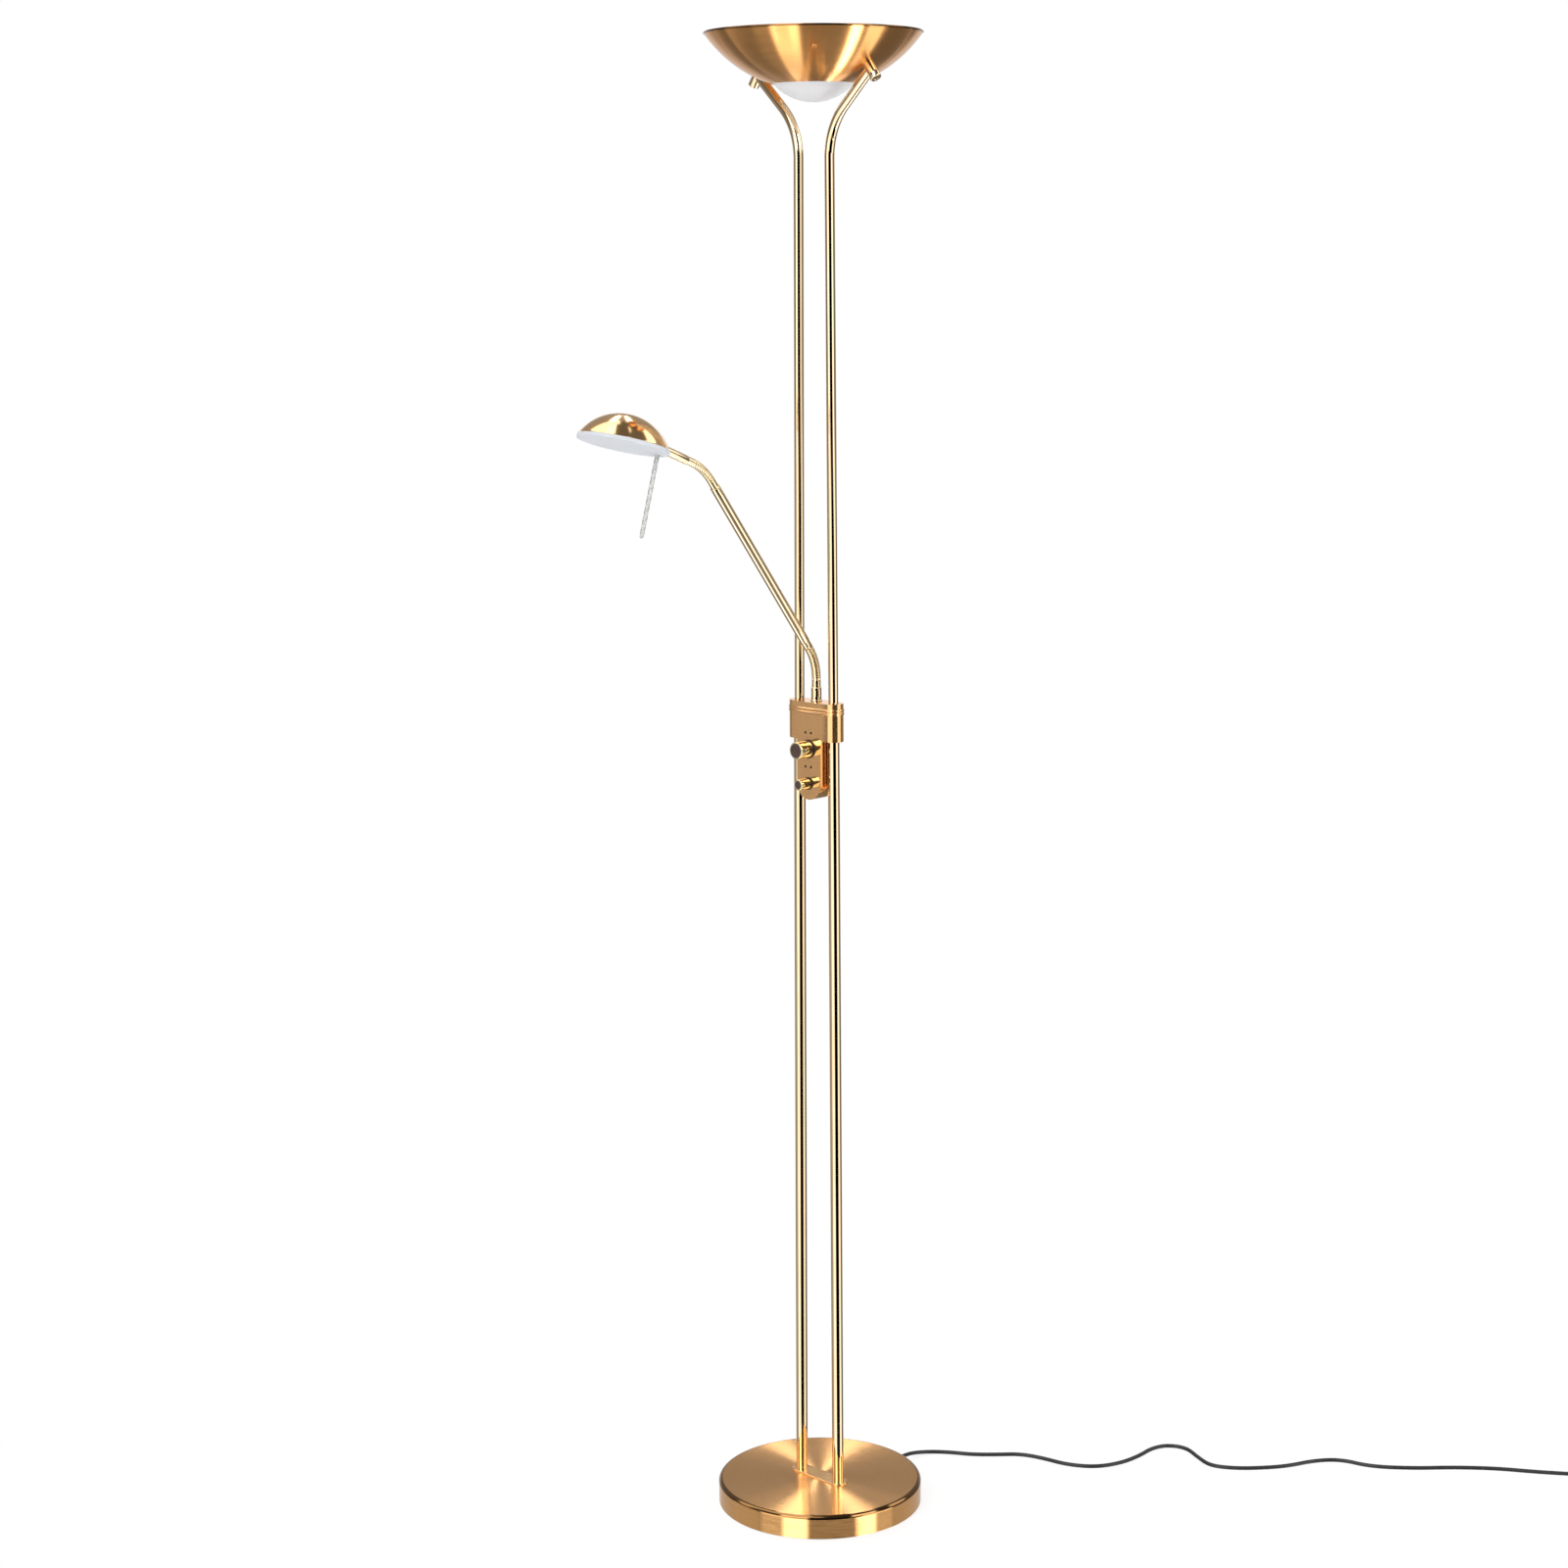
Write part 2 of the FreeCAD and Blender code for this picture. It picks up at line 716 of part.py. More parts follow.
def make_poles():
    straight = at.upper_pole_rise / cosine(upper_lean)
    bend = at.bend_radius
    turn = at.bend_angle + upper_lean
    run = at.bend_run - at.standoff_radius * at.standoff_bite
    lean = at.standoff_angle
    couplers = []
    grubs = []
    for side, sign in sides.items():
        x = sign * at.foot_half_spacing
        tube = cylinder("lower_tube_" + side, at.lower_pole_radius,
                        (lower_rise - at.seat_gap * 5) / cosine(lower_lean))
        place(tube, x, 0, foot_top + at.seat_gap, (0, 1, 0), -sign * lower_lean)
        bore = cylinder("lower_bore_" + side, inner_lower_radius, lower_rise * 1.01)
        place(bore, x, 0, foot_top - at.seat_gap, (0, 1, 0), -sign * lower_lean)
        keep("lower_pole_" + side, cut("lower_pole_" + side, tube, bore))

        path = [
            (0, 0),
            (0, straight),
            (sign * bend * (1 - cosine(turn)), straight + bend * sine(turn)),
            (sign * (bend * (1 - cosine(turn)) + run * sine(turn)),
             straight + bend * sine(turn) + run * cosine(turn)),
        ]
        pole = bent_tube("upper_pole_" + side, path, {1: (bend, -sign)},
                         at.upper_pole_radius, inner_upper_radius)
        place(pole, sign * at.housing_half_spacing, 0, at.pole_join_height + at.seat_gap * 4,
              (0, 1, 0), -sign * upper_lean)
        drop = bowl_centre - at.bowl_sphere_radius * cosine(lean)
        cope = cylinder("cope_" + side, at.standoff_radius, at.standoff_length * 4)
        place(cope, sign * standoff_at, 0, drop, (0, 1, 0), sign * (180 - lean))
        back = cylinder("cope_back_" + side, at.standoff_radius, at.standoff_length)
        place(back, sign * standoff_at, 0, drop, (0, 1, 0), -sign * lean)
        keep("upper_pole_" + side, cut("upper_pole_" + side, pole, cope, back))

        height = at.coupler_below + at.coupler_above
        sleeve = cylinder("coupler_" + side, at.coupler_radius, height)
        place(sleeve, sign * at.housing_half_spacing, 0, at.pole_join_height - at.coupler_below)
        wide = cylinder("coupler_wide_" + side, at.lower_pole_radius + at.fit, at.coupler_below + at.seat_gap)
        place(wide, sign * at.housing_half_spacing, 0, at.pole_join_height - at.coupler_below - at.seat_gap)
        slim = cylinder("coupler_slim_" + side, at.upper_pole_radius + at.fit, height)
        place(slim, sign * at.housing_half_spacing, 0, at.pole_join_height - at.seat_gap)
        grub_cuts = []
        for level, offset in (("low", -0.5 * at.coupler_below), ("high", 0.5 * at.coupler_above)):
            tube_radius = at.lower_pole_radius if level == "low" else at.upper_pole_radius
            hole = cylinder("grub_hole_%s_%s" % (side, level), at.grub_radius + at.seat_gap,
                            at.coupler_radius * 2)
            place(hole, sign * at.housing_half_spacing, 0, at.pole_join_height + offset,
                  (1, 0, 0), -90.0)
            grub_cuts.append(hole)
            grub = cylinder("grub_%s_%s" % (side, level), at.grub_radius, at.grub_length)
            place(grub, sign * at.housing_half_spacing, tube_radius + at.fit * 2,
                  at.pole_join_height + offset, (1, 0, 0), -90.0)
            grubs.append(grub)
        couplers.append(cut("pole_coupler_" + side, sleeve, wide, slim, *grub_cuts))
    keep("pole_couplers", group("pole_couplers", *couplers))
    keep("coupler_screws", group("coupler_screws", *grubs))


def oval(inset):
    """The housing's outline seen from above, drawn in by inset: four arcs that meet smoothly."""
    reach = (at.housing_half_spacing * at.housing_half_spacing / at.housing_bulge + at.housing_bulge) / 2
    end = at.housing_end_radius - inset
    x = at.housing_half_spacing * (1 + end / reach)
    y = end * (reach - at.housing_bulge) / reach
    points = [(-x, -y), (x, -y), (x, y), (-x, y)]
    front = reach + end
    return points, {0: (front, 1), 1: (end, 1), 2: (front, 1), 3: (end, 1)}


def oval_block(name, inset, low, high):
    points, arcs = oval(inset)
    return place(padded(name, points, arcs, high - low), 0, 0, low)


def tongue_block(name, inset, high, front, back):
    """The tongue's outline seen from the front, rounded below, between two values of y."""
    half = at.tongue_half_width - inset
    low = reading_knob_height
    body = padded(
        name,
        [(half, low), (half, high), (-half, high), (-half, low)],
        {3: (half, 1)},
        back - front,
        role="XZ_Plane",
    )
    return place(body, 0, back, 0)


front_depth = at.housing_end_radius + at.housing_bulge


def make_housing():
    wall = at.housing_wall
    collar = oval_block("collar_outer", 0, housing_bottom, housing_top)
    tongue = common(
        "tongue",
        oval_block("tongue_round", 0, reading_knob_height - at.tongue_half_width - wall, housing_top - wall),
        tongue_block("tongue_shape", 0, housing_bottom + at.tongue_overlap, -2 * front_depth,
                     at.tongue_back),
    )
    beads = []
    for number in range(2):
        middle = (housing_top - at.bead_drop) - number * at.bead_pitch
        half = at.bead_radius
        bead = oval_block("bead%d" % number, -at.bead_rise, middle - half, middle + half)
        beads.append(bead)
    outer = fuse("housing_outer", collar, tongue, *beads)
    hollow = oval_block("collar_hollow", wall, housing_bottom + wall, housing_top - wall)
    tongue_hollow = common(
        "tongue_hollow",
        oval_block("hollow_round", wall, reading_knob_height - at.tongue_half_width, housing_top - wall),
        tongue_block("hollow_shape", wall, housing_bottom + at.tongue_overlap - wall, -2 * front_depth,
                     at.tongue_back + wall),
    )
    holes = []
    for side, sign in sides.items():
        low = cylinder("housing_low_hole_" + side, at.lower_pole_radius + at.fit, wall * 3)
        place(low, sign * at.housing_half_spacing, 0, housing_bottom - wall)
        high = cylinder("housing_high_hole_" + side, at.upper_pole_radius + at.fit * 2, wall * 3)
        place(high, sign * at.housing_half_spacing, 0, housing_top - wall * 2)
        holes.extend([low, high])
    socket = cylinder("housing_socket_hole", at.spigot_bore_radius, wall * 3)
    place(socket, 0, 0, housing_top - wall * 2)
    holes.append(socket)
    for name, height in (("main", main_knob_height), ("reading", reading_knob_height)):
        hole = cylinder("housing_%s_hole" % name, at.bushing_radius + at.fit, front_depth * 2)
        place(hole, 0, 0, height, (1, 0, 0), 90.0)
        holes.append(hole)
    shell = cut("housing_shell", outer, hollow, tongue_hollow, *holes)

    back = tongue_block("back_plate", 0, housing_bottom - at.seat_gap * 4,
                        at.tongue_back + at.seat_gap, at.tongue_back + at.back_thickness)
    screws = []
    screw_holes = []
    lugs = []
    for name, height in (("top", (main_knob_height + reading_knob_height) / 2 - at.back_screw_offset),
                         ("bottom", reading_knob_height - at.back_screw_low)):
        hole = cylinder("back_hole_" + name, at.back_screw_radius + at.fit, at.back_thickness * 3)
        place(hole, 0, at.tongue_back - at.back_thickness, height, (1, 0, 0), -90.0)
        screw_holes.append(hole)
        shank = cylinder("back_shank_" + name, at.back_screw_radius,
                         at.back_thickness + at.back_screw_reach)
        place(shank, 0, at.tongue_back + at.seat_gap - at.back_screw_reach, height, (1, 0, 0), -90.0)
        head = cylinder("back_head_" + name, at.back_screw_radius * 2, at.back_thickness)
        place(head, 0, at.tongue_back + at.back_thickness + at.seat_gap, height, (1, 0, 0), -90.0)
        screws.append(fuse("back_screw_" + name, shank, head))
        depth = front_depth + at.tongue_back - wall / 2
        lug = cylinder("back_lug_" + name, at.back_screw_radius * 2.2, depth)
        place(lug, 0, at.tongue_back, height, (1, 0, 0), 90.0)
        bore = cylinder("back_lug_bore_" + name, at.back_screw_radius + at.fit,
                        at.back_thickness + at.back_screw_reach + wall)
        place(bore, 0, at.tongue_back + wall, height, (1, 0, 0), 90.0)
        lugs.append(cut("back_lug_" + name, lug, bore))
    keep("housing_back", cut("housing_back", back, *screw_holes))
    keep("housing_body", fuse("housing_body", shell, *lugs))
    keep("housing_screws", group("housing_screws", *screws))

    terminal = block("terminal_box", at.housing_half_spacing / 2, at.housing_end_radius,
                     at.coupler_above)
    place(terminal, -0.25 * at.housing_half_spacing, -0.5 * at.housing_end_radius,
          housing_bottom + wall + at.seat_gap)
    keep("terminal_block", terminal)


knob_rings = []


def make_dimmer(name, height, half_width, knob_radius, knob_length, ring_radius):
    """A rotary dimmer behind the front wall, its ring and its knob."""
    wall_face = -front_depth
    inside = wall_face + at.housing_wall
    case = block(name + "_case", half_width * 2, at.dimmer_depth, half_width * 2)
    place(case, -half_width, inside + at.dimmer_gap, height - half_width)
    bushing = cylinder(name + "_bushing", at.bushing_radius,
                       at.dimmer_gap + at.dimmer_step + at.housing_wall + at.bushing_reach)
    place(bushing, 0, inside + at.dimmer_gap + at.dimmer_step, height, (1, 0, 0), 90.0)
    bore = cylinder(name + "_bore", at.shaft_radius + at.seat_gap, at.dimmer_depth * 2)
    place(bore, 0, inside + at.dimmer_depth / 2, height, (1, 0, 0), 90.0)
    keep("dimmer_" + name, cut("dimmer_" + name, fuse("dimmer_" + name, case, bushing), bore))

    bump = at.seat_gap * 2
    ring = cylinder(name + "_ring_outer", ring_radius, at.ring_thickness)
    place(ring, 0, wall_face - bump, height, (1, 0, 0), 90.0)
    ring_hole = cylinder(name + "_ring_hole", at.bushing_radius + at.fit, at.ring_thickness * 3)
    place(ring_hole, 0, wall_face + at.ring_thickness, height, (1, 0, 0), 90.0)
    knob_rings.append(cut("ring_" + name, ring, ring_hole))

    low = at.ring_thickness + bump + at.knob_gap
    high = low + knob_length
    sink = at.bushing_reach + at.fit * 4
    edge = at.knob_edge
    knob = turned(
        "knob_" + name,
        [
            (at.shaft_radius, sink),
            (at.bushing_radius + at.fit * 4, sink),
            (at.bushing_radius + at.fit * 4, low),
            (knob_radius - edge / 2, low),
            (knob_radius, low + edge),
            (knob_radius, high - edge),
            (knob_radius - edge, high),
            (knob_radius - at.knob_cap_inset - edge, high),
            (knob_radius - at.knob_cap_inset - edge, high - at.knob_cap_thickness),
            (at.shaft_radius, high - at.knob_cap_thickness),
        ],
    )
    keep("knob_" + name, place(knob, 0, wall_face, height, (1, 0, 0), 90.0))
    cap = cylinder("cap_" + name, knob_radius - at.knob_cap_inset - edge - at.seat_gap,
                   at.knob_cap_thickness - at.seat_gap)
    place(cap, 0, wall_face - high + at.knob_cap_thickness - at.seat_gap, height, (1, 0, 0), 90.0)
    keep("knob_cap_" + name, cap)
    inward = at.housing_wall + at.dimmer_depth / 2 - at.shaft_end_gap
    length = high - at.knob_cap_thickness - at.seat_gap + inward
    shaft = cylinder("shaft_" + name, at.shaft_radius, length)
    place(shaft, 0, wall_face + inward, height, (1, 0, 0), 90.0)
    keep("shaft_" + name, shaft)


class ArmPoint:
    """A point on the arm's axis, in the plane x = 0, with its lean from straight up."""

    def __init__(self, y, z, lean):
        self.y = y
        self.z = z
        self.lean = lean

    def ahead(self, run):
        return ArmPoint(self.y - run * sine(self.lean), self.z + run * cosine(self.lean), self.lean)

    def bent(self, radius, lean):
        return ArmPoint(
            self.y - radius * (cosine(self.lean) - cosine(lean)),
            self.z + radius * (sine(lean) - sine(self.lean)),
            lean,
        )


def on_arm(feature, point):
    return place(feature, 0, point.y, point.z, (1, 0, 0), point.lean)


arm_foot = ArmPoint(zero, housing_top + at.seat_gap * 2 + at.ferrule_height, zero)
lower_bend_start = arm_foot.ahead(at.lower_neck_end)
lower_bend_end = lower_bend_start.bent(at.lower_neck_bend, at.arm_angle)
arm_start = lower_bend_end.ahead(at.lower_neck_end)
arm_end = arm_start.ahead(at.arm_tube_length)
upper_bend_start = arm_end.ahead(at.upper_neck_end)
upper_bend_end = upper_bend_start.bent(at.upper_neck_bend, at.head_angle)
sleeve_start = upper_bend_end.ahead(at.upper_neck_end)
sleeve_end = sleeve_start.ahead(at.sleeve_length)


def ribbed_neck(name, start, bend_radius, lean, end_run, radius):
    """A flexible neck: plain for one diameter at each end, ribbed round its bend, with a bore."""
    first = math.radians(start.lean.number)
    last = math.radians(lean.number)
    bend = bend_radius.number
    run = end_run.number
    arc = bend * (last - first)
    total = 2 * run + arc
    y0 = start.y.number
    z0 = start.z.number

    def spot(distance):
        along = min(max(distance - run, 0.0), arc)
        angle = first + along / bend
        y = y0 - bend * (math.cos(first) - math.cos(angle))
        z = z0 + bend * (math.sin(angle) - math.sin(first))
        before = min(distance, run)
        after = max(distance - run - arc, 0.0)
        y -= before * math.sin(first) + after * math.sin(last)
        z += before * math.cos(first) + after * math.cos(last)
        return FreeCAD.Placement(Vector(0, y, z), FreeCAD.Rotation(Vector(1, 0, 0), math.degrees(angle)))

    def ring(distance, ring_radius):
        circle = Part.makeCircle(ring_radius)
        circle.Placement = spot(distance)
        return Part.Wire([circle])

    outer = radius.number
    depth = at.rib_depth.number
    count = max(2, int(round(arc / at.rib_pitch.number)))
    pitch = arc / count
    rings = [ring(0.0, outer)]
    for number in range(count):
        begin = run + number * pitch
        rings.append(ring(begin, outer - depth))
        rings.append(ring(begin + 0.25 * pitch, outer - depth * 0.2))
        rings.append(ring(begin + 0.5 * pitch, outer))
        rings.append(ring(begin + 0.75 * pitch, outer - depth * 0.2))
    rings.append(ring(run + arc, outer - depth))
    rings.append(ring(total, outer))
    rings.insert(1, ring(run - SIZES["rib_lead"], outer))
    rings.insert(len(rings) - 1, ring(run + arc + SIZES["rib_lead"], outer))
    skin = Part.makeLoft(rings, True, True)
    bore_radius = at.neck_bore_radius.number
    steps = 8
    bore_rings = [ring(0.0, bore_radius)]
    bore_rings.extend(ring(run + arc * step / steps, bore_radius) for step in range(steps + 1))
    bore_rings.append(ring(total, bore_radius))
    bore = Part.makeLoft(bore_rings, True, True)
    feature = doc.addObject("Part::Feature", name + "_neck")
    feature.Shape = skin.cut(bore)
    print("%s: %d ribs, %.1f mm long" % (name, count, total))
    return keep(name, feature)


def make_arm():
    ferrule_low = housing_top + at.seat_gap * 2
    spigot_low = housing_top - at.housing_wall - at.socket_nut_thickness - at.seat_gap * 4
    socket = turned(
        "arm_socket",
        [
            (at.arm_bore, spigot_low),
            (at.spigot_radius, spigot_low),
            (at.spigot_radius, ferrule_low),
            (at.ferrule_radius + at.ferrule_lip, ferrule_low),
            (at.ferrule_radius + at.ferrule_lip, ferrule_low + 3 * at.ferrule_lip),
            (at.ferrule_radius, ferrule_low + 4 * at.ferrule_lip),
            (at.ferrule_radius, ferrule_low + at.ferrule_height - at.ferrule_edge),
            (at.ferrule_radius - at.ferrule_edge, ferrule_low + at.ferrule_height),
            (at.arm_bore, ferrule_low + at.ferrule_height),
        ],
    )
    keep("arm_socket", socket)
    nut = doc.addObject("Part::Prism", "socket_nut_prism")
    nut.Polygon = 6
    bind(nut, "Circumradius", at.socket_nut_radius)
    bind(nut, "Height", at.socket_nut_thickness)
    nut_low = housing_top - at.housing_wall - at.socket_nut_thickness - at.seat_gap * 2
    place(nut, 0, 0, nut_low)
    hole = cylinder("socket_nut_hole", at.spigot_radius + at.seat_gap, at.socket_nut_thickness * 3)
    place(hole, 0, 0, nut_low - at.socket_nut_thickness)
    keep("socket_nut", cut("socket_nut", nut, hole))

    ribbed_neck("gooseneck_lower", arm_foot, at.lower_neck_bend, at.arm_angle,
                at.lower_neck_end, at.lower_neck_radius)
    tube = turned(
        "arm_tube",
        [
            (at.arm_tube_radius - at.arm_tube_wall, 0),
            (at.arm_tube_radius, 0),
            (at.arm_tube_radius, at.arm_tube_length),
            (at.arm_tube_radius - at.arm_tube_wall, at.arm_tube_length),
        ],
    )
    keep("arm_tube", on_arm(tube, arm_start))
    ribbed_neck("gooseneck_upper", arm_end, at.upper_neck_bend, at.head_angle,
                at.upper_neck_end, at.upper_neck_radius)
    ends = []
    for name, point in (("low", arm_start), ("high", arm_end.ahead(-at.tube_end_length))):
        ring = cylinder("tube_end_" + name, at.arm_tube_radius - at.arm_tube_wall - at.seat_gap,
                        at.tube_end_length)
        on_arm(ring, point)
        hole = cylinder("tube_end_hole_" + name, at.neck_bore_radius,
                        at.tube_end_length + 2 * at.bore_margin)
        on_arm(hole, point.ahead(-at.bore_margin))
        ends.append(cut("tube_end_" + name, ring, hole))
    keep("arm_tube_ends", group("arm_tube_ends", *ends))
    sleeve = turned(
        "arm_sleeve",
        [
            (at.neck_bore_radius, 0),
            (at.sleeve_radius, 0),
            (at.sleeve_radius, at.sleeve_length),
            (at.neck_bore_radius, at.sleeve_length),
        ],
    )
    keep("arm_sleeve", on_arm(sleeve, sleeve_start))


def on_disc(feature, x, across, height, flip=0.0):
    """Puts a feature in the reading head: across runs outward along the disc, height above it."""
    tilt = at.disc_tilt
    y = sleeve_end.y - at.disc_beyond_sleeve - across * cosine(tilt) + height * sine(tilt)
    z = sleeve_end.z + at.disc_above_sleeve + across * sine(tilt) + height * cosine(tilt)
    return place(feature, x, y, z, (1, 0, 0), flip - tilt)


def make_head():
    outer_radius = at.dome_sphere_radius
    drop = root(outer_radius * outer_radius - at.dome_radius * at.dome_radius)
    outer = sphere("dome_outer", outer_radius)
    on_disc(outer, 0, zero, -drop)
    inner = sphere("dome_inner", outer_radius - at.dome_wall)
    on_disc(inner, 0, zero, -drop)
    slab = cylinder("dome_slab", outer_radius * 1.2, outer_radius)
    on_disc(slab, 0, zero, as_size(0.1))
    hole = cylinder("dome_hole", at.sleeve_radius + at.seat_gap, at.sleeve_length * 2)
    on_arm(hole, sleeve_start)
    dome = cut("reading_shade", common("dome", outer, slab), inner, hole)
    keep("reading_shade", dome)

    glass = cylinder("glass_disc", at.glass_disc_radius, at.glass_disc_thickness)
    on_disc(glass, 0, zero, -at.glass_disc_thickness)
    pin_hole = cylinder("glass_pin_hole", at.handle_radius + at.fit, at.glass_disc_thickness * 3)
    on_disc(pin_hole, at.handle_x, -at.handle_inboard, -2 * at.glass_disc_thickness)
    keep("reading_glass", cut("reading_glass", glass, pin_hole))

    ring_outer_radius = at.dome_radius - at.dome_wall - at.clamp_ring_clearance
    ring = cylinder("clamp_outer", ring_outer_radius, at.clamp_ring_thickness)
    on_disc(ring, 0, zero, at.seat_gap * 2)
    bore = cylinder("clamp_bore", ring_outer_radius - at.clamp_ring_width, at.clamp_ring_thickness * 4)
    on_disc(bore, 0, zero, -at.clamp_ring_thickness)
    lug = cylinder("clamp_lug", at.handle_nut_radius + at.clamp_lug_margin, at.clamp_ring_thickness)
    on_disc(lug, at.handle_x, -at.handle_inboard, at.seat_gap * 2)
    ring_hole = cylinder("clamp_pin_hole", at.handle_radius + at.fit, at.clamp_ring_thickness * 4)
    on_disc(ring_hole, at.handle_x, -at.handle_inboard, -at.clamp_ring_thickness)
    clamp = fuse("clamp_ring", cut("clamp_ring", ring, bore), lug)
    keep("shade_ring", cut("shade_ring", clamp, ring_hole))

    top = at.clamp_ring_thickness + at.seat_gap * 4 + at.handle_nut_thickness
    rod = cylinder("handle_rod", at.handle_radius, at.handle_length + at.glass_disc_thickness + top)
    on_disc(rod, at.handle_x, -at.handle_inboard, -at.handle_length - at.glass_disc_thickness)
    tip = sphere("handle_tip", at.handle_radius)
    on_disc(tip, at.handle_x, -at.handle_inboard, -at.handle_length - at.glass_disc_thickness)
    keep("glass_handle", fuse("glass_handle", rod, tip))
    nut = doc.addObject("Part::Prism", "handle_nut_prism")
    nut.Polygon = 6
    bind(nut, "Circumradius", at.handle_nut_radius)
    bind(nut, "Height", at.handle_nut_thickness)
    nut_low = at.clamp_ring_thickness + at.seat_gap * 3
    on_disc(nut, at.handle_x, -at.handle_inboard, nut_low)
    nut_hole = cylinder("handle_nut_hole", at.handle_radius + at.seat_gap, at.handle_nut_thickness * 3)
    on_disc(nut_hole, at.handle_x, -at.handle_inboard, nut_low - at.handle_nut_thickness)
    keep("handle_nut", cut("handle_nut", nut, nut_hole))

    base = cylinder("lamp_base", at.lamp_base_radius, at.lamp_base_length)
    base_start = sleeve_end.ahead(at.seat_gap)
    on_arm(base, base_start)
    keep("reading_lamp_holder", base)
    capsule_start = base_start.ahead(at.lamp_base_length + at.seat_gap)
    tube = cylinder("capsule_tube", at.capsule_radius, at.capsule_length - at.capsule_radius)
    on_arm(tube, capsule_start)
    end = sphere("capsule_end", at.capsule_radius)
    on_arm(end, capsule_start.ahead(at.capsule_length - at.capsule_radius))
    keep("reading_lamp", fuse("reading_lamp", tube, end))


# How far the tube lamp and its bracket are turned from the line between the poles
LAMP_TURN = -45.0


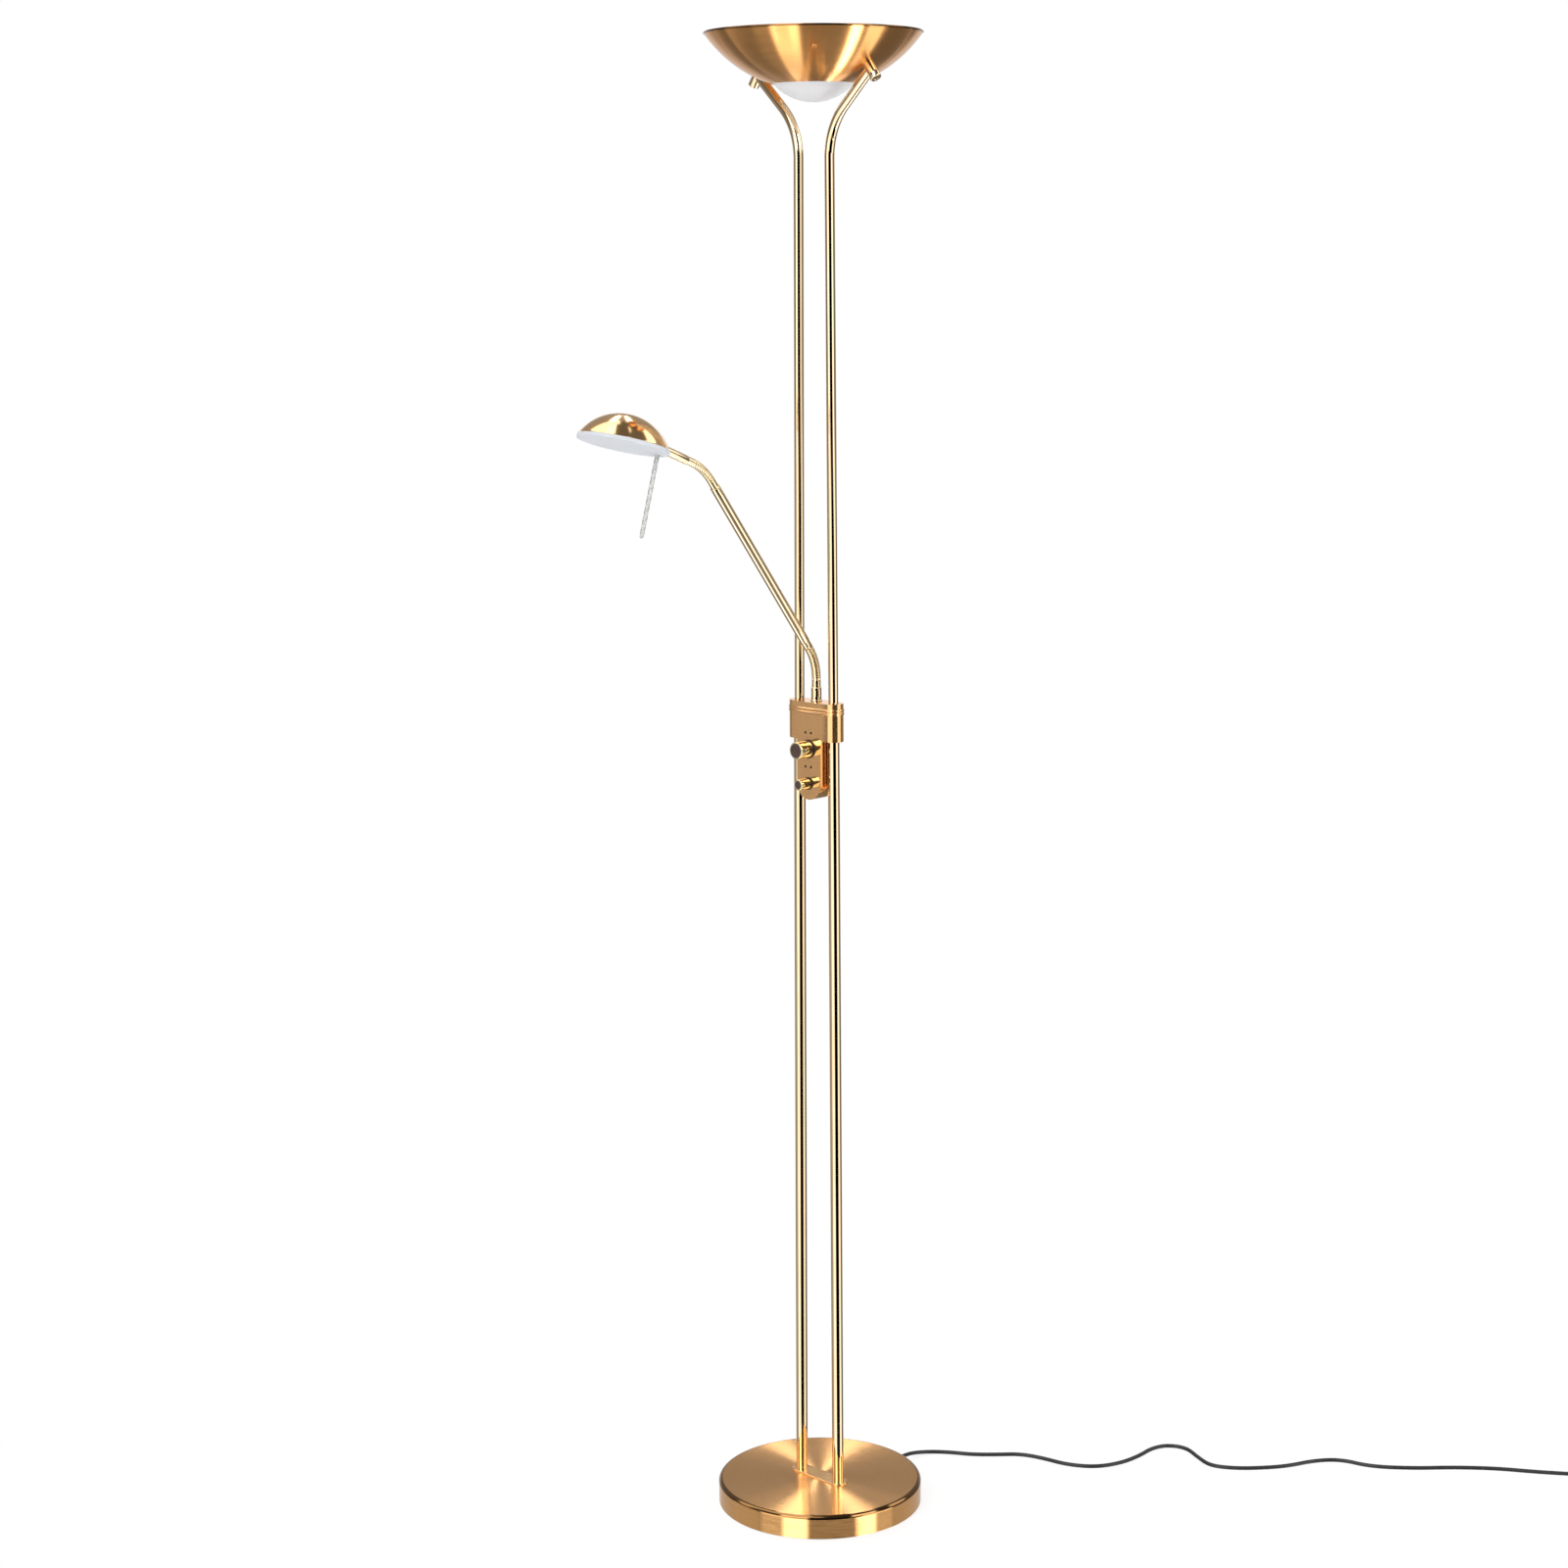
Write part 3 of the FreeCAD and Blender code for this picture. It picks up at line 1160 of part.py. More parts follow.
def make_bowl():
    outer = sphere("bowl_outer", at.bowl_sphere_radius)
    place(outer, 0, 0, bowl_centre)
    inner = sphere("bowl_inner", bowl_inside_radius)
    place(inner, 0, 0, bowl_centre)
    reach = rim_height - at.rim_bead_radius - bowl_bottom
    slab = cylinder("bowl_slab", at.bowl_sphere_radius, reach + at.bore_margin)
    place(slab, 0, 0, bowl_bottom - at.bore_margin)
    rim_rise = bowl_centre - (rim_height - at.rim_bead_radius)
    rim_radius = root(at.bowl_sphere_radius * at.bowl_sphere_radius - rim_rise * rim_rise)
    bead = torus("bowl_bead", rim_radius - at.bowl_wall / 2, at.rim_bead_radius)
    place(bead, 0, 0, rim_height - at.rim_bead_radius)
    hole = cylinder("bowl_hole", at.bowl_hole_radius, reach)
    place(hole, 0, 0, bowl_bottom - at.bore_margin)
    cuts = [hole]
    lean = at.standoff_angle
    drop = bowl_centre - at.bowl_sphere_radius * cosine(lean)
    screws = []
    for side, sign in sides.items():
        angle = sign * (180 - lean)
        screw_hole = cylinder("bowl_screw_hole_" + side, at.bowl_screw_radius + at.fit, at.bowl_wall * 6)
        place(screw_hole, sign * (standoff_at - 3 * at.bowl_wall * sine(lean)), 0,
              drop + 3 * at.bowl_wall * cosine(lean), (0, 1, 0), angle)
        cuts.append(screw_hole)

        root_depth = at.standoff_root
        length = at.standoff_length + root_depth
        post = turned(
            "standoff_post_" + side,
            [
                (0, 0),
                (at.standoff_radius, 0),
                (at.standoff_radius, length - at.standoff_edge),
                (at.standoff_radius - at.standoff_edge, length),
                (0, length),
            ],
        )
        place(post, sign * (standoff_at - root_depth * sine(lean)), 0, drop + root_depth * cosine(lean),
              (0, 1, 0), angle)
        ball = sphere("standoff_ball_" + side, at.bowl_sphere_radius + at.seat_gap / 2)
        place(ball, 0, 0, bowl_centre)
        thread = cylinder("standoff_thread_" + side, at.bowl_screw_radius + at.fit / 2,
                          at.bowl_screw_length + at.bore_margin)
        place(thread, sign * (standoff_at - at.bore_margin * sine(lean)), 0,
              drop + at.bore_margin * cosine(lean), (0, 1, 0), angle)
        keep("standoff_" + side, cut("standoff_" + side, post, ball, thread))

        inside = at.bowl_wall + at.seat_gap * 4
        shank = cylinder("bowl_shank_" + side, at.bowl_screw_radius, at.bowl_screw_length + inside)
        place(shank, sign * (standoff_at - inside * sine(lean)), 0, drop + inside * cosine(lean),
              (0, 1, 0), angle)
        lift = inside + at.bowl_screw_head_height
        head = cylinder("bowl_head_" + side, at.bowl_screw_head, at.bowl_screw_head_height + at.seat_gap)
        place(head, sign * (standoff_at - lift * sine(lean)), 0, drop + lift * cosine(lean),
              (0, 1, 0), angle)
        screws.append(fuse("bowl_screw_" + side, shank, head))
    keep("bowl_screws", group("bowl_screws", *screws))

    # The lamp bracket lies along the diagonal of +X and -Y and ends in tabs riveted to the bowl
    tilt = arc_sine(at.rivet_at / at.bowl_sphere_radius)
    corner_reach = (at.bracket_tab * at.bracket_tab + at.bracket_width * at.bracket_width) / 4
    corner_rise = corner_reach / (2 * bowl_inside_radius)
    level = bowl_inside_radius - at.fit - corner_rise - at.bracket_thickness
    tab_far = level * sine(tilt)
    tab_drop = bowl_centre - level * cosine(tilt)
    pieces = []
    rivets = []
    rivet_holes = []
    share = math.cos(math.radians(LAMP_TURN))
    width = at.bracket_width
    for name, sign in (("front", 1.0), ("rear", -1.0)):
        tab = block("tab_" + name, at.bracket_tab, width, at.bracket_thickness)
        tab.Placement = FreeCAD.Placement(
            Vector(-tab.Length.Value / 2, -width.number / 2, 0), FreeCAD.Rotation())
        turned_tab = doc.addObject("Part::Compound", "tab_frame_" + name)
        turned_tab.Links = [tab]
        swing = FreeCAD.Rotation(Vector(0, 0, 1), LAMP_TURN if sign > 0 else LAMP_TURN + 180.0)
        leaning = FreeCAD.Rotation(Vector(0, 1, 0), 180 - tilt.number)
        turned_tab.Placement = FreeCAD.Placement(
            Vector(sign * tab_far.number * share, -sign * tab_far.number * share, tab_drop.number),
            swing.multiply(leaning))
        pieces.append(turned_tab)
        rivet = cylinder("rivet_shank_" + name, at.rivet_shank,
                         at.bowl_wall + at.bracket_thickness + at.fit + corner_rise + at.rivet_head_height)
        head = cylinder("rivet_head_" + name, at.rivet_radius, at.rivet_head_height)
        bore = cylinder("rivet_bore_" + name, at.rivet_shank + at.seat_gap, at.bowl_wall * 8)
        start = level - at.rivet_head_height / 2
        for feature, distance in ((rivet, start), (head, at.bowl_sphere_radius + at.seat_gap / 2),
                                  (bore, start - at.bowl_wall * 2)):
            along = distance * sine(tilt)
            feature.Placement = FreeCAD.Placement(
                Vector(sign * along.number * share, -sign * along.number * share,
                       (bowl_centre - distance * cosine(tilt)).number),
                swing.multiply(leaning))
        rivets.append(fuse("rivet_" + name, rivet, head))
        rivet_holes.append(bore)
    cuts.extend(rivet_holes)
    keep("bowl_rivets", group("bowl_rivets", *rivets))
    inner_end = tab_far - at.bracket_tab / 2 * cosine(tilt)
    floor_height = tab_drop - at.bracket_tab / 2 * sine(tilt)
    bar = block("bracket_bar", inner_end * 2 + at.bracket_overlap, width, at.bracket_thickness)
    bar.Placement = FreeCAD.Placement(Vector(), FreeCAD.Rotation())
    bar_length = (inner_end * 2 + at.bracket_overlap).number
    corner = FreeCAD.Rotation(Vector(0, 0, 1), LAMP_TURN).multVec(
        Vector(-bar_length / 2, -width.number / 2, 0))
    bar.Placement = FreeCAD.Placement(
        corner + Vector(0, 0, floor_height.number - SIZES["bracket_drop"]),
        FreeCAD.Rotation(Vector(0, 0, 1), LAMP_TURN))
    bracket = fuse("lamp_bracket_raw", bar, *pieces)
    keep("lamp_bracket", cut("lamp_bracket", bracket, *rivet_holes))
    keep("bowl", fuse("bowl", cut("bowl", common("bowl", outer, slab), inner, *cuts), bead))

    bar_top = floor_height.number - SIZES["bracket_drop"] + SIZES["bracket_thickness"]
    lamp_height = bar_top + SIZES["holder_height"] * SIZES["holder_grip_share"]
    holders = []
    for name, sign in (("front", 1.0), ("rear", -1.0)):
        length = at.holder_length
        holder = block("holder_" + name, length, at.holder_width, at.holder_height)
        low = at.lamp_length / 2 + at.lamp_end_length * at.holder_grip_share + at.holder_gap
        start = Vector(low.number, -SIZES["holder_width"] / 2, 0)
        if sign < 0:
            start.x = -low.number - length.number
        swing = FreeCAD.Rotation(Vector(0, 0, 1), LAMP_TURN)
        holder.Placement = FreeCAD.Placement(
            swing.multVec(start) + Vector(0, 0, bar_top + SIZES["seat_gap"]), swing)
        pocket = cylinder("pocket_" + name, at.lamp_end_radius + at.fit, at.lamp_length * 2)
        reach = at.lamp_length / 2 + at.lamp_end_length + at.fit
        bind(pocket, "Height", reach * 2)
        pocket.Placement = FreeCAD.Placement(
            swing.multVec(Vector(-reach.number, 0, 0)) + Vector(0, 0, lamp_height),
            swing.multiply(FreeCAD.Rotation(Vector(0, 1, 0), 90.0)))
        holders.append(cut("lamp_holder_" + name, holder, pocket))
    keep("lamp_holders", group("lamp_holders", *holders))
    swing = FreeCAD.Rotation(Vector(0, 0, 1), LAMP_TURN).multiply(FreeCAD.Rotation(Vector(0, 1, 0), 90.0))
    along = FreeCAD.Rotation(Vector(0, 0, 1), LAMP_TURN)
    tube = cylinder("lamp_glass_tube", at.lamp_radius, at.lamp_length)
    tube.Placement = FreeCAD.Placement(
        along.multVec(Vector(-SIZES["lamp_length"] / 2, 0, 0)) + Vector(0, 0, lamp_height), swing)
    keep("lamp_tube", tube)
    caps = []
    for name, sign in (("front", 1.0), ("rear", -1.0)):
        cap = cylinder("lamp_cap_" + name, at.lamp_end_radius, at.lamp_end_length)
        start = SIZES["lamp_length"] / 2 if sign > 0 else -SIZES["lamp_length"] / 2 - SIZES["lamp_end_length"]
        cap.Placement = FreeCAD.Placement(along.multVec(Vector(start, 0, 0)) + Vector(0, 0, lamp_height), swing)
        caps.append(cap)
    keep("lamp_ends", group("lamp_ends", *caps))


def make_dish():
    """The frosted glass dish hangs in the bowl's hole by its flange."""
    low = bowl_bottom - at.dish_drop
    centre = low + at.dish_sphere_radius
    outer = sphere("dish_outer", at.dish_sphere_radius)
    place(outer, 0, 0, centre)
    inner = sphere("dish_inner", at.dish_sphere_radius - at.dish_wall)
    place(inner, 0, 0, centre)
    lip_radius = bowl_inside_radius - at.seat_gap * 2
    lip = sphere("dish_lip_outer", lip_radius)
    place(lip, 0, 0, bowl_centre)
    lip_inner = sphere("dish_lip_inner", lip_radius - at.dish_wall)
    place(lip_inner, 0, 0, bowl_centre)
    column = cylinder("dish_column", at.dish_flange_radius, at.dish_sphere_radius)
    place(column, 0, 0, low)
    lip_top = bowl_centre - root(lip_radius * lip_radius - at.dish_neck_radius * at.dish_neck_radius)
    slab = cylinder("dish_slab", at.dish_sphere_radius, lip_top + at.dish_wall / 2 - low + 1)
    place(slab, 0, 0, low - 1)
    opening = cylinder("dish_opening", at.dish_neck_radius - at.dish_wall * 0.6, at.dish_sphere_radius)
    place(opening, 0, 0, low + at.dish_depth - 1)
    flange = cut("dish_flange", common("dish_ring", lip, column), lip_inner)
    cup = cut("dish_cup", common("dish_cup", outer, slab), inner)
    raw = fuse("glass_dish_raw", cup, flange)
    bore = sphere("dish_bore", at.dish_sphere_radius - at.dish_wall)
    place(bore, 0, 0, centre)
    keep("glass_dish", cut("glass_dish", raw, bore, opening))


# Cord: its route on the floor, hand set, then the put-away coil and the plug

CORD_ROUTE = [
    (0, 135, 11), (0, 159, 11), (-6, 182.5, 5.2), (3, 205, 2.6), (23, 221, 2.6), (48, 235, 2.6),
    (71, 257, 2.6), (92, 280, 2.6), (122, 290, 2.6), (158, 295, 2.6), (190, 315, 2.6), (205, 348, 2.6),
    (207, 384, 2.6), (203, 413, 2.6), (211, 437, 2.6), (235, 447, 2.6), (263, 433, 2.6),
    (292, 421, 2.6), (318, 434, 2.6), (340, 455, 2.6), (365, 488, 2.6), (379, 527, 2.6),
    (402, 555, 2.6), (443, 562, 2.6), (487, 597, 2.6), (520, 633, 2.6), (562, 669, 2.6),
    (604, 694, 2.6), (643, 721, 2.8), (677, 742, 3.7),
]


def smooth_route(points):
    """Straight runs joined by tangent arcs, each arc as large as its two runs allow."""
    points = [Vector(*point) for point in points]
    edges = []
    radii = []
    here = points[0]
    for number in range(1, len(points) - 1):
        corner = points[number]
        before = corner - points[number - 1]
        after = points[number + 1] - corner
        turn = before.getAngle(after)
        shorter = min(before.Length, after.Length)
        trim = 0.45 * shorter
        radii.append(trim / math.tan(turn / 2))
        start = corner - before.normalize() * trim
        stop = corner + after.normalize() * trim
        inward = (stop - corner) + (start - corner)
        inward.normalize()
        reach = radii[-1] / math.cos(turn / 2) - radii[-1]
        middle = corner + inward * reach
        edges.append(Part.LineSegment(here, start).toShape())
        edges.append(Part.Arc(start, middle, stop).toShape())
        here = stop
    edges.append(Part.LineSegment(here, points[-1]).toShape())
    return edges, radii


def tube_along(edges, radius, start, direction):
    section = Part.Wire([Part.makeCircle(radius, start, direction)])
    return Part.Wire(edges).makePipeShell([section], True, False)


def biarc(first, first_way, last, last_way):
    """Two arcs from one point to another that leave and arrive along the given ways."""
    chord = last - first
    ways = first_way + last_way
    bend = 2 * (1 - first_way.dot(last_way))
    along = chord.dot(ways)
    if bend < 1e-9:
        reach = chord.dot(chord) / (2 * along)
    else:
        reach = (-along + math.sqrt(along * along + bend * chord.dot(chord))) / bend
    middle = (first + last + (first_way - last_way) * reach) * 0.5
    edges = []
    for start, way, stop in ((first, first_way, middle), (last, -last_way, middle)):
        span = stop - start
        side = span - way * span.dot(way)
        radius = span.dot(span) / (2 * side.Length)
        centre = start + side.normalize() * radius
        arm = (start + stop) * 0.5 - centre
        through = centre + arm.normalize() * radius
        edges.append((start, through, stop))
    near = Part.Arc(*edges[0]).toShape()
    far = Part.Arc(edges[1][2], edges[1][1], edges[1][0]).toShape()
    return [near, far]


# How far round the first turn the tie sits
TIE_TURN = 0.42


def coil_place():
    """The coil's centre, the angle at which the cord comes in, and the radii of its turns."""
    end = Vector(*CORD_ROUTE[-1])
    way = end - Vector(*CORD_ROUTE[-2])
    way.z = 0
    way.normalize()
    turns = at.coil_layer_turns.number
    pitch = at.coil_pitch.number
    outer = at.coil_mean_radius.number + turns * pitch / 2
    start = end + way * (2 * at.cord_radius.number)
    centre = start + Vector(-way.y, way.x, 0) * outer
    angle = math.atan2(start.y - centre.y, start.x - centre.x)
    return centre, angle, outer, pitch, turns


def coil_point(turned_by):
    """A point of the coil and its way, after that many turns in from the outside and out again."""
    centre, angle, outer, pitch, turns = coil_place()
    rest = turns - abs(turned_by - turns)
    radius = outer - pitch * rest
    slope = -pitch if turned_by < turns else pitch
    if abs(turned_by - turns) < 1e-9:
        slope = 0.0
    lift = min(max((turned_by - turns) * 2 + 0.5, 0.0), 1.0)
    height = at.coil_height.number + pitch * lift
    climbing = abs(turned_by - turns) < 0.25 - 1e-9
    theta = angle + 2 * math.pi * turned_by
    out = Vector(math.cos(theta), math.sin(theta), 0)
    side = Vector(-math.sin(theta), math.cos(theta), 0)
    point = centre + out * radius
    point.z = height
    way = side * (2 * math.pi * radius) + out * slope
    way.z = 2 * pitch if climbing else 0.0
    return point, way.normalize()


def make_cord():
    edges, radii = smooth_route(CORD_ROUTE)
    first = Vector(*CORD_ROUTE[0])
    second = Vector(*CORD_ROUTE[1])
    radius = at.cord_radius.number
    shape = tube_along(edges, radius, first, second - first)
    length = sum(edge.Length for edge in edges)
    print("cord radii: " + ", ".join("%.0f" % value for value in radii))
    print("cord run %.1f mm, volume %.1f, section by length %.1f"
          % (length, shape.Volume, math.pi * radius ** 2 * length))
    cord = doc.addObject("Part::Feature", "cord_tube")
    cord.Shape = shape
    keep("cord", cord)

    centre, angle, outer, pitch, turns = coil_place()
    end = Vector(*CORD_ROUTE[-1])
    last_way = end - Vector(*CORD_ROUTE[-2])
    last_way.normalize()
    start = end + last_way * (2 * radius)
    total_turns = 2 * turns + 0.25
    steps = int(round(total_turns * 4))
    spots = [coil_point(total_turns * step / steps) for step in range(steps + 1)]
    coil_edges = [Part.LineSegment(end, start).toShape()]
    here, here_way = start, last_way
    for spot, spot_way in spots[1:]:
        coil_edges.extend(biarc(here, here_way, spot, spot_way))
        here, here_way = spot, spot_way
    flat_way = Vector(here_way.x, here_way.y, 0).normalize()
    down = here + flat_way * at.plug_lead.number
    down.z = at.plug_height.number / 2 + at.seat_gap.number * 2
    coil_edges.extend(biarc(here, here_way, down, flat_way))
    here_way = flat_way
    stop = down + here_way * (2 * radius)
    coil_edges.append(Part.LineSegment(down, stop).toShape())
    coil_shape = tube_along(coil_edges, radius, end, last_way)
    coil_length = sum(edge.Length for edge in coil_edges)
    samples = []
    for edge in coil_edges:
        count = max(2, int(edge.Length / 1.5))
        samples.extend(edge.discretize(count)[:-1])
    gap = min(
        a.distanceToPoint(b) - 2 * radius
        for i, a in enumerate(samples)
        for b in samples[i + 30:]
    )
    print("coil %.1f mm long, least gap to itself %.2f mm, volume %.1f, section by length %.1f"
          % (coil_length, gap, coil_shape.Volume, math.pi * radius ** 2 * coil_length))
    coil = doc.addObject("Part::Feature", "coil_tube")
    coil.Shape = coil_shape
    keep("cord_coil", coil)

    tie_angle = angle + 2 * math.pi * TIE_TURN
    out = Vector(math.cos(tie_angle), math.sin(tie_angle), 0)
    spare = at.tie_clearance.number
    near = outer - pitch * turns - radius - spare
    far = outer + radius + spare
    low = at.coil_height.number - radius - spare / 4
    high = at.coil_height.number + pitch + radius + spare / 2
    wall = at.tie_wall.number
    width = at.tie_width.number
    turn = FreeCAD.Rotation(Vector(0, 0, 1), math.degrees(tie_angle))
    outside = Part.makeBox(far - near + 2 * wall, width, high - low + 2 * wall,
                           Vector(near - wall, -width / 2, low - wall))
    inside = Part.makeBox(far - near, width * 2, high - low, Vector(near, -width, low))
    band = outside.cut(inside)
    tie = doc.addObject("Part::Feature", "tie_band")
    tie.Shape = band
    tie.Placement = FreeCAD.Placement(Vector(centre.x, centre.y, 0), turn)
    keep("coil_tie", tie)

    length = at.plug_body_length.number
    wide = at.plug_width.number / 2
    tall = at.plug_height.number / 2
    rounding = at.plug_rounding.number

    def outline(distance, half_width, half_height):
        corners = [(-half_width, -half_height), (half_width, -half_height),
                   (half_width, half_height), (-half_width, half_height)]
        wire = Part.makePolygon([Vector(x, y, distance) for x, y in corners + corners[:1]])
        return wire

    plug_axis = FreeCAD.Rotation(Vector(0, 0, 1), here_way)
    up = plug_axis.multVec(Vector(0, 1, 0))
    roll = math.degrees(math.atan2(up.cross(Vector(0, 0, 1)).dot(here_way), up.z))
    level = FreeCAD.Rotation(here_way, roll).multiply(plug_axis)
    body = Part.makeLoft([outline(0, radius + rounding, radius + rounding),
                          outline(length * 0.35, wide * 0.75, tall * 0.8),
                          outline(length, wide, tall)], True, True)
    body = body.makeFillet(rounding, body.Edges)
    plug = doc.addObject("Part::Feature", "plug_shape")
    plug.Shape = body
    plug.Placement = FreeCAD.Placement(stop, level)
    keep("plug", plug)
    blades = []
    for sign in (-1, 1):
        blade = Part.makeBox(at.blade_thickness.number, at.blade_width.number, at.blade_length.number)
        blade.translate(Vector(sign * at.blade_half_spacing.number - at.blade_thickness.number / 2,
                               -at.blade_width.number / 2, length + 0.02))
        blades.append(blade)
    pins = doc.addObject("Part::Feature", "plug_blade_pair")
    pins.Shape = Part.makeCompound(blades)
    pins.Placement = FreeCAD.Placement(stop, level)
    keep("plug_blades", pins)


def make_relief():
    inner = at.base_radius - at.cover_wall
    nut_face = inner - at.relief_gap
    wall_out = at.base_radius + at.fit
    waist = at.relief_radius - at.relief_waist
    relief = turned(
        "cord_relief",
        [
            (at.relief_bore_radius, nut_face - at.relief_nut_length),
            (at.relief_radius + at.relief_gap, nut_face - at.relief_nut_length),
            (at.relief_radius + at.relief_gap, nut_face),
            (waist, nut_face),
            (waist, wall_out),
            (at.relief_radius, wall_out),
            (at.relief_radius, wall_out + at.relief_flange),
            (at.relief_radius - at.relief_flange / 2, wall_out + at.relief_flange * 1.5),
            (at.relief_tip_radius, wall_out + at.relief_reach),
            (at.relief_bore_radius, wall_out + at.relief_reach),
        ],
    )
    keep("cord_relief", place(relief, 0, 0, at.relief_height, (1, 0, 0), -90.0))


make_base()
make_foot()
make_poles()
make_housing()
make_dimmer("main", main_knob_height, at.dimmer_half_width, at.main_knob_radius,
            at.main_knob_length, at.main_ring_radius)
make_dimmer("reading", reading_knob_height, at.small_dimmer_half_width, at.reading_knob_radius,
            at.reading_knob_length, at.reading_ring_radius)
keep("knob_rings", group("knob_rings", *knob_rings))
make_arm()
make_head()
make_bowl()
make_dish()
make_relief()
make_cord()

doc.recompute()

os.makedirs("parts", exist_ok=True)
for feature in doc.Objects:
    if "Invalid" in feature.State or "Error" in feature.State:
        raise RuntimeError("%s is %s: %s" % (feature.Name, feature.State, feature.getStatusString()))
for name, feature in parts.items():
    shape = feature.Shape
    if shape.isNull() or not shape.isValid() or not shape.Solids:
        raise RuntimeError("%s has no valid solid" % name)
for name, feature in parts.items():
    feature.Shape.exportStep("parts/%s.step" % name)
    print("%-22s %2d solids %12.1f" % (name, len(feature.Shape.Solids), feature.Shape.Volume))
print("%d nodes" % len(parts))
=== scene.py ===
import math

import bmesh
import bpy
from mathutils import Matrix, Vector


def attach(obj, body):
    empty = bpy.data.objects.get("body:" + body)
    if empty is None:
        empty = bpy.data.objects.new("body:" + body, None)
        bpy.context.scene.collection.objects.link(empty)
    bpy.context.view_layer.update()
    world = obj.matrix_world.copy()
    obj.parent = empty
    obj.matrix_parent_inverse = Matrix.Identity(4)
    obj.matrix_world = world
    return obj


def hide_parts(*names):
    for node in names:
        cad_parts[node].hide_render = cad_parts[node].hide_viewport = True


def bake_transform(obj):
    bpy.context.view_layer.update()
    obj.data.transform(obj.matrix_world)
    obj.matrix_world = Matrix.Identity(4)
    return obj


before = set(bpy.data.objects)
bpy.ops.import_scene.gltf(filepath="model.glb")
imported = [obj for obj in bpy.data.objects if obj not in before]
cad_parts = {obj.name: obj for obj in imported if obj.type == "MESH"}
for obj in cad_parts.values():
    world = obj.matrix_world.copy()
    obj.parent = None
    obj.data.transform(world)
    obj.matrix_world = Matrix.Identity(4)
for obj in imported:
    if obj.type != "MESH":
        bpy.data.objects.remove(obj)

# Lengths in this script are in millimetres until a mesh is made; MM turns them into metres.
MM = 0.001

for spare in ("Cube", "Light", "Camera"):
    if bpy.data.objects.get(spare):
        bpy.data.objects.remove(bpy.data.objects[spare])
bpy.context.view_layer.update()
scene = bpy.context.scene


# Sizes that the pieces share, all from the CAD model

SIDES = (("left", -1), ("right", 1))
SHEET = 1.2
BASE_RADIUS = 127.0
BASE_HEIGHT = 31.0
FOOT_TOP = 32.6

POLE_FOOT_X = 31.5
POLE_JOIN_X = 28.5
POLE_JOIN_Z = 992.0
POLE_HEAD_X = 25.3
BEND_Z = 1656.0
LOWER_POLE_RADIUS = 7.1
UPPER_POLE_RADIUS = 5.9
STANDOFF_AT = 88.0
STANDOFF_RADIUS = 6.75

BOWL_RADIUS = 156.0
BOWL_CENTRE = 1888.6
RIM_Z = 1800.0

WALL_FACE = -14.6
HOUSING_TOP = 1016.0
# Each knob's name, height, radius, length, radius of its base ring, and body.
KNOBS = (
    ("main", 959.4, 10.4, 19.3, 11.4, "main_knob"),
    ("reading", 917.3, 6.6, 15.9, 7.6, "reading_knob"),
)

LOWER_NECK_RUN = 10.8
LOWER_NECK_BEND = 63.0
LOWER_NECK_LEAN = math.radians(37.3)
ARM_LENGTH = 241.0
UPPER_NECK_RUN = 9.8
UPPER_NECK_BEND = 67.0
UPPER_NECK_LEAN = math.radians(69.0)
DISC_THICKNESS = 4.5
CORD_RADIUS = 2.5


# Node helpers

def rgb(red, green, blue):
    """A screen colour from 0 to 255 as the linear colour that a shader takes."""
    def linear(value):
        value /= 255
        return value / 12.92 if value <= 0.04045 else ((value + 0.055) / 1.055) ** 2.4
    return (linear(red), linear(green), linear(blue))


def node(tree, kind, inputs=None, **settings):
    """A new shader node; inputs go by name or number, and each is a value or another node's output."""
    made = tree.nodes.new("ShaderNode" + kind)
    for key, value in settings.items():
        setattr(made, key, value)
    for key, value in (inputs or {}).items():
        if isinstance(value, bpy.types.NodeSocket):
            tree.links.new(value, made.inputs[key])
        else:
            made.inputs[key].default_value = value
    return made


def maths(tree, operation, first, second):
    return node(tree, "Math", {0: first, 1: second}, operation=operation).outputs[0]


def weighed(tree, *parts):
    """The sum of (value, weight) pairs."""
    total = None
    for value, weight in parts:
        share = maths(tree, "MULTIPLY", value, weight)
        total = share if total is None else maths(tree, "ADD", total, share)
    return total


def vector_maths(tree, operation, *values):
    made = node(tree, "VectorMath", dict(enumerate(values)), operation=operation)
    return made.outputs["Value" if operation in ("LENGTH", "DOT_PRODUCT") else "Vector"]


def height_of(tree, where):
    return node(tree, "SeparateXYZ", {0: where}).outputs["Z"]


def spread(tree, value, low, high, to_low=0.0, to_high=1.0, smooth=True):
    """Turns a value that runs from low to high into one that runs from to_low to to_high."""
    made = node(tree, "MapRange",
                {"Value": value, "From Min": low, "From Max": high, "To Min": to_low, "To Max": to_high},
                interpolation_type="SMOOTHSTEP" if smooth else "LINEAR")
    return made.outputs["Result"]


def ramp(tree, value, stops):
    """A colour ramp; each stop is (place, grey) or (place, colour), and a colour has three parts."""
    made = node(tree, "ValToRGB", {"Fac": value})
    elements = made.color_ramp.elements
    elements.remove(elements[1])
    for number, (place, colour) in enumerate(stops):
        element = elements[0] if number == 0 else elements.new(place)
        element.position = place
        element.color = (*colour, 1.0) if isinstance(colour, tuple) else (colour, colour, colour, 1.0)
    return made.outputs["Color"]


def mixed(tree, amount, first, second):
    """The first colour where amount is nought, and the second where it is one."""
    return node(tree, "Mix", {0: amount, 6: first, 7: second}, data_type="RGBA").outputs[2]


def noise(tree, where, scale, detail=2.0, roughness=0.5):
    return node(tree, "TexNoise", {"Vector": where, "Scale": scale, "Detail": detail,
                                             "Roughness": roughness}).outputs["Fac"]


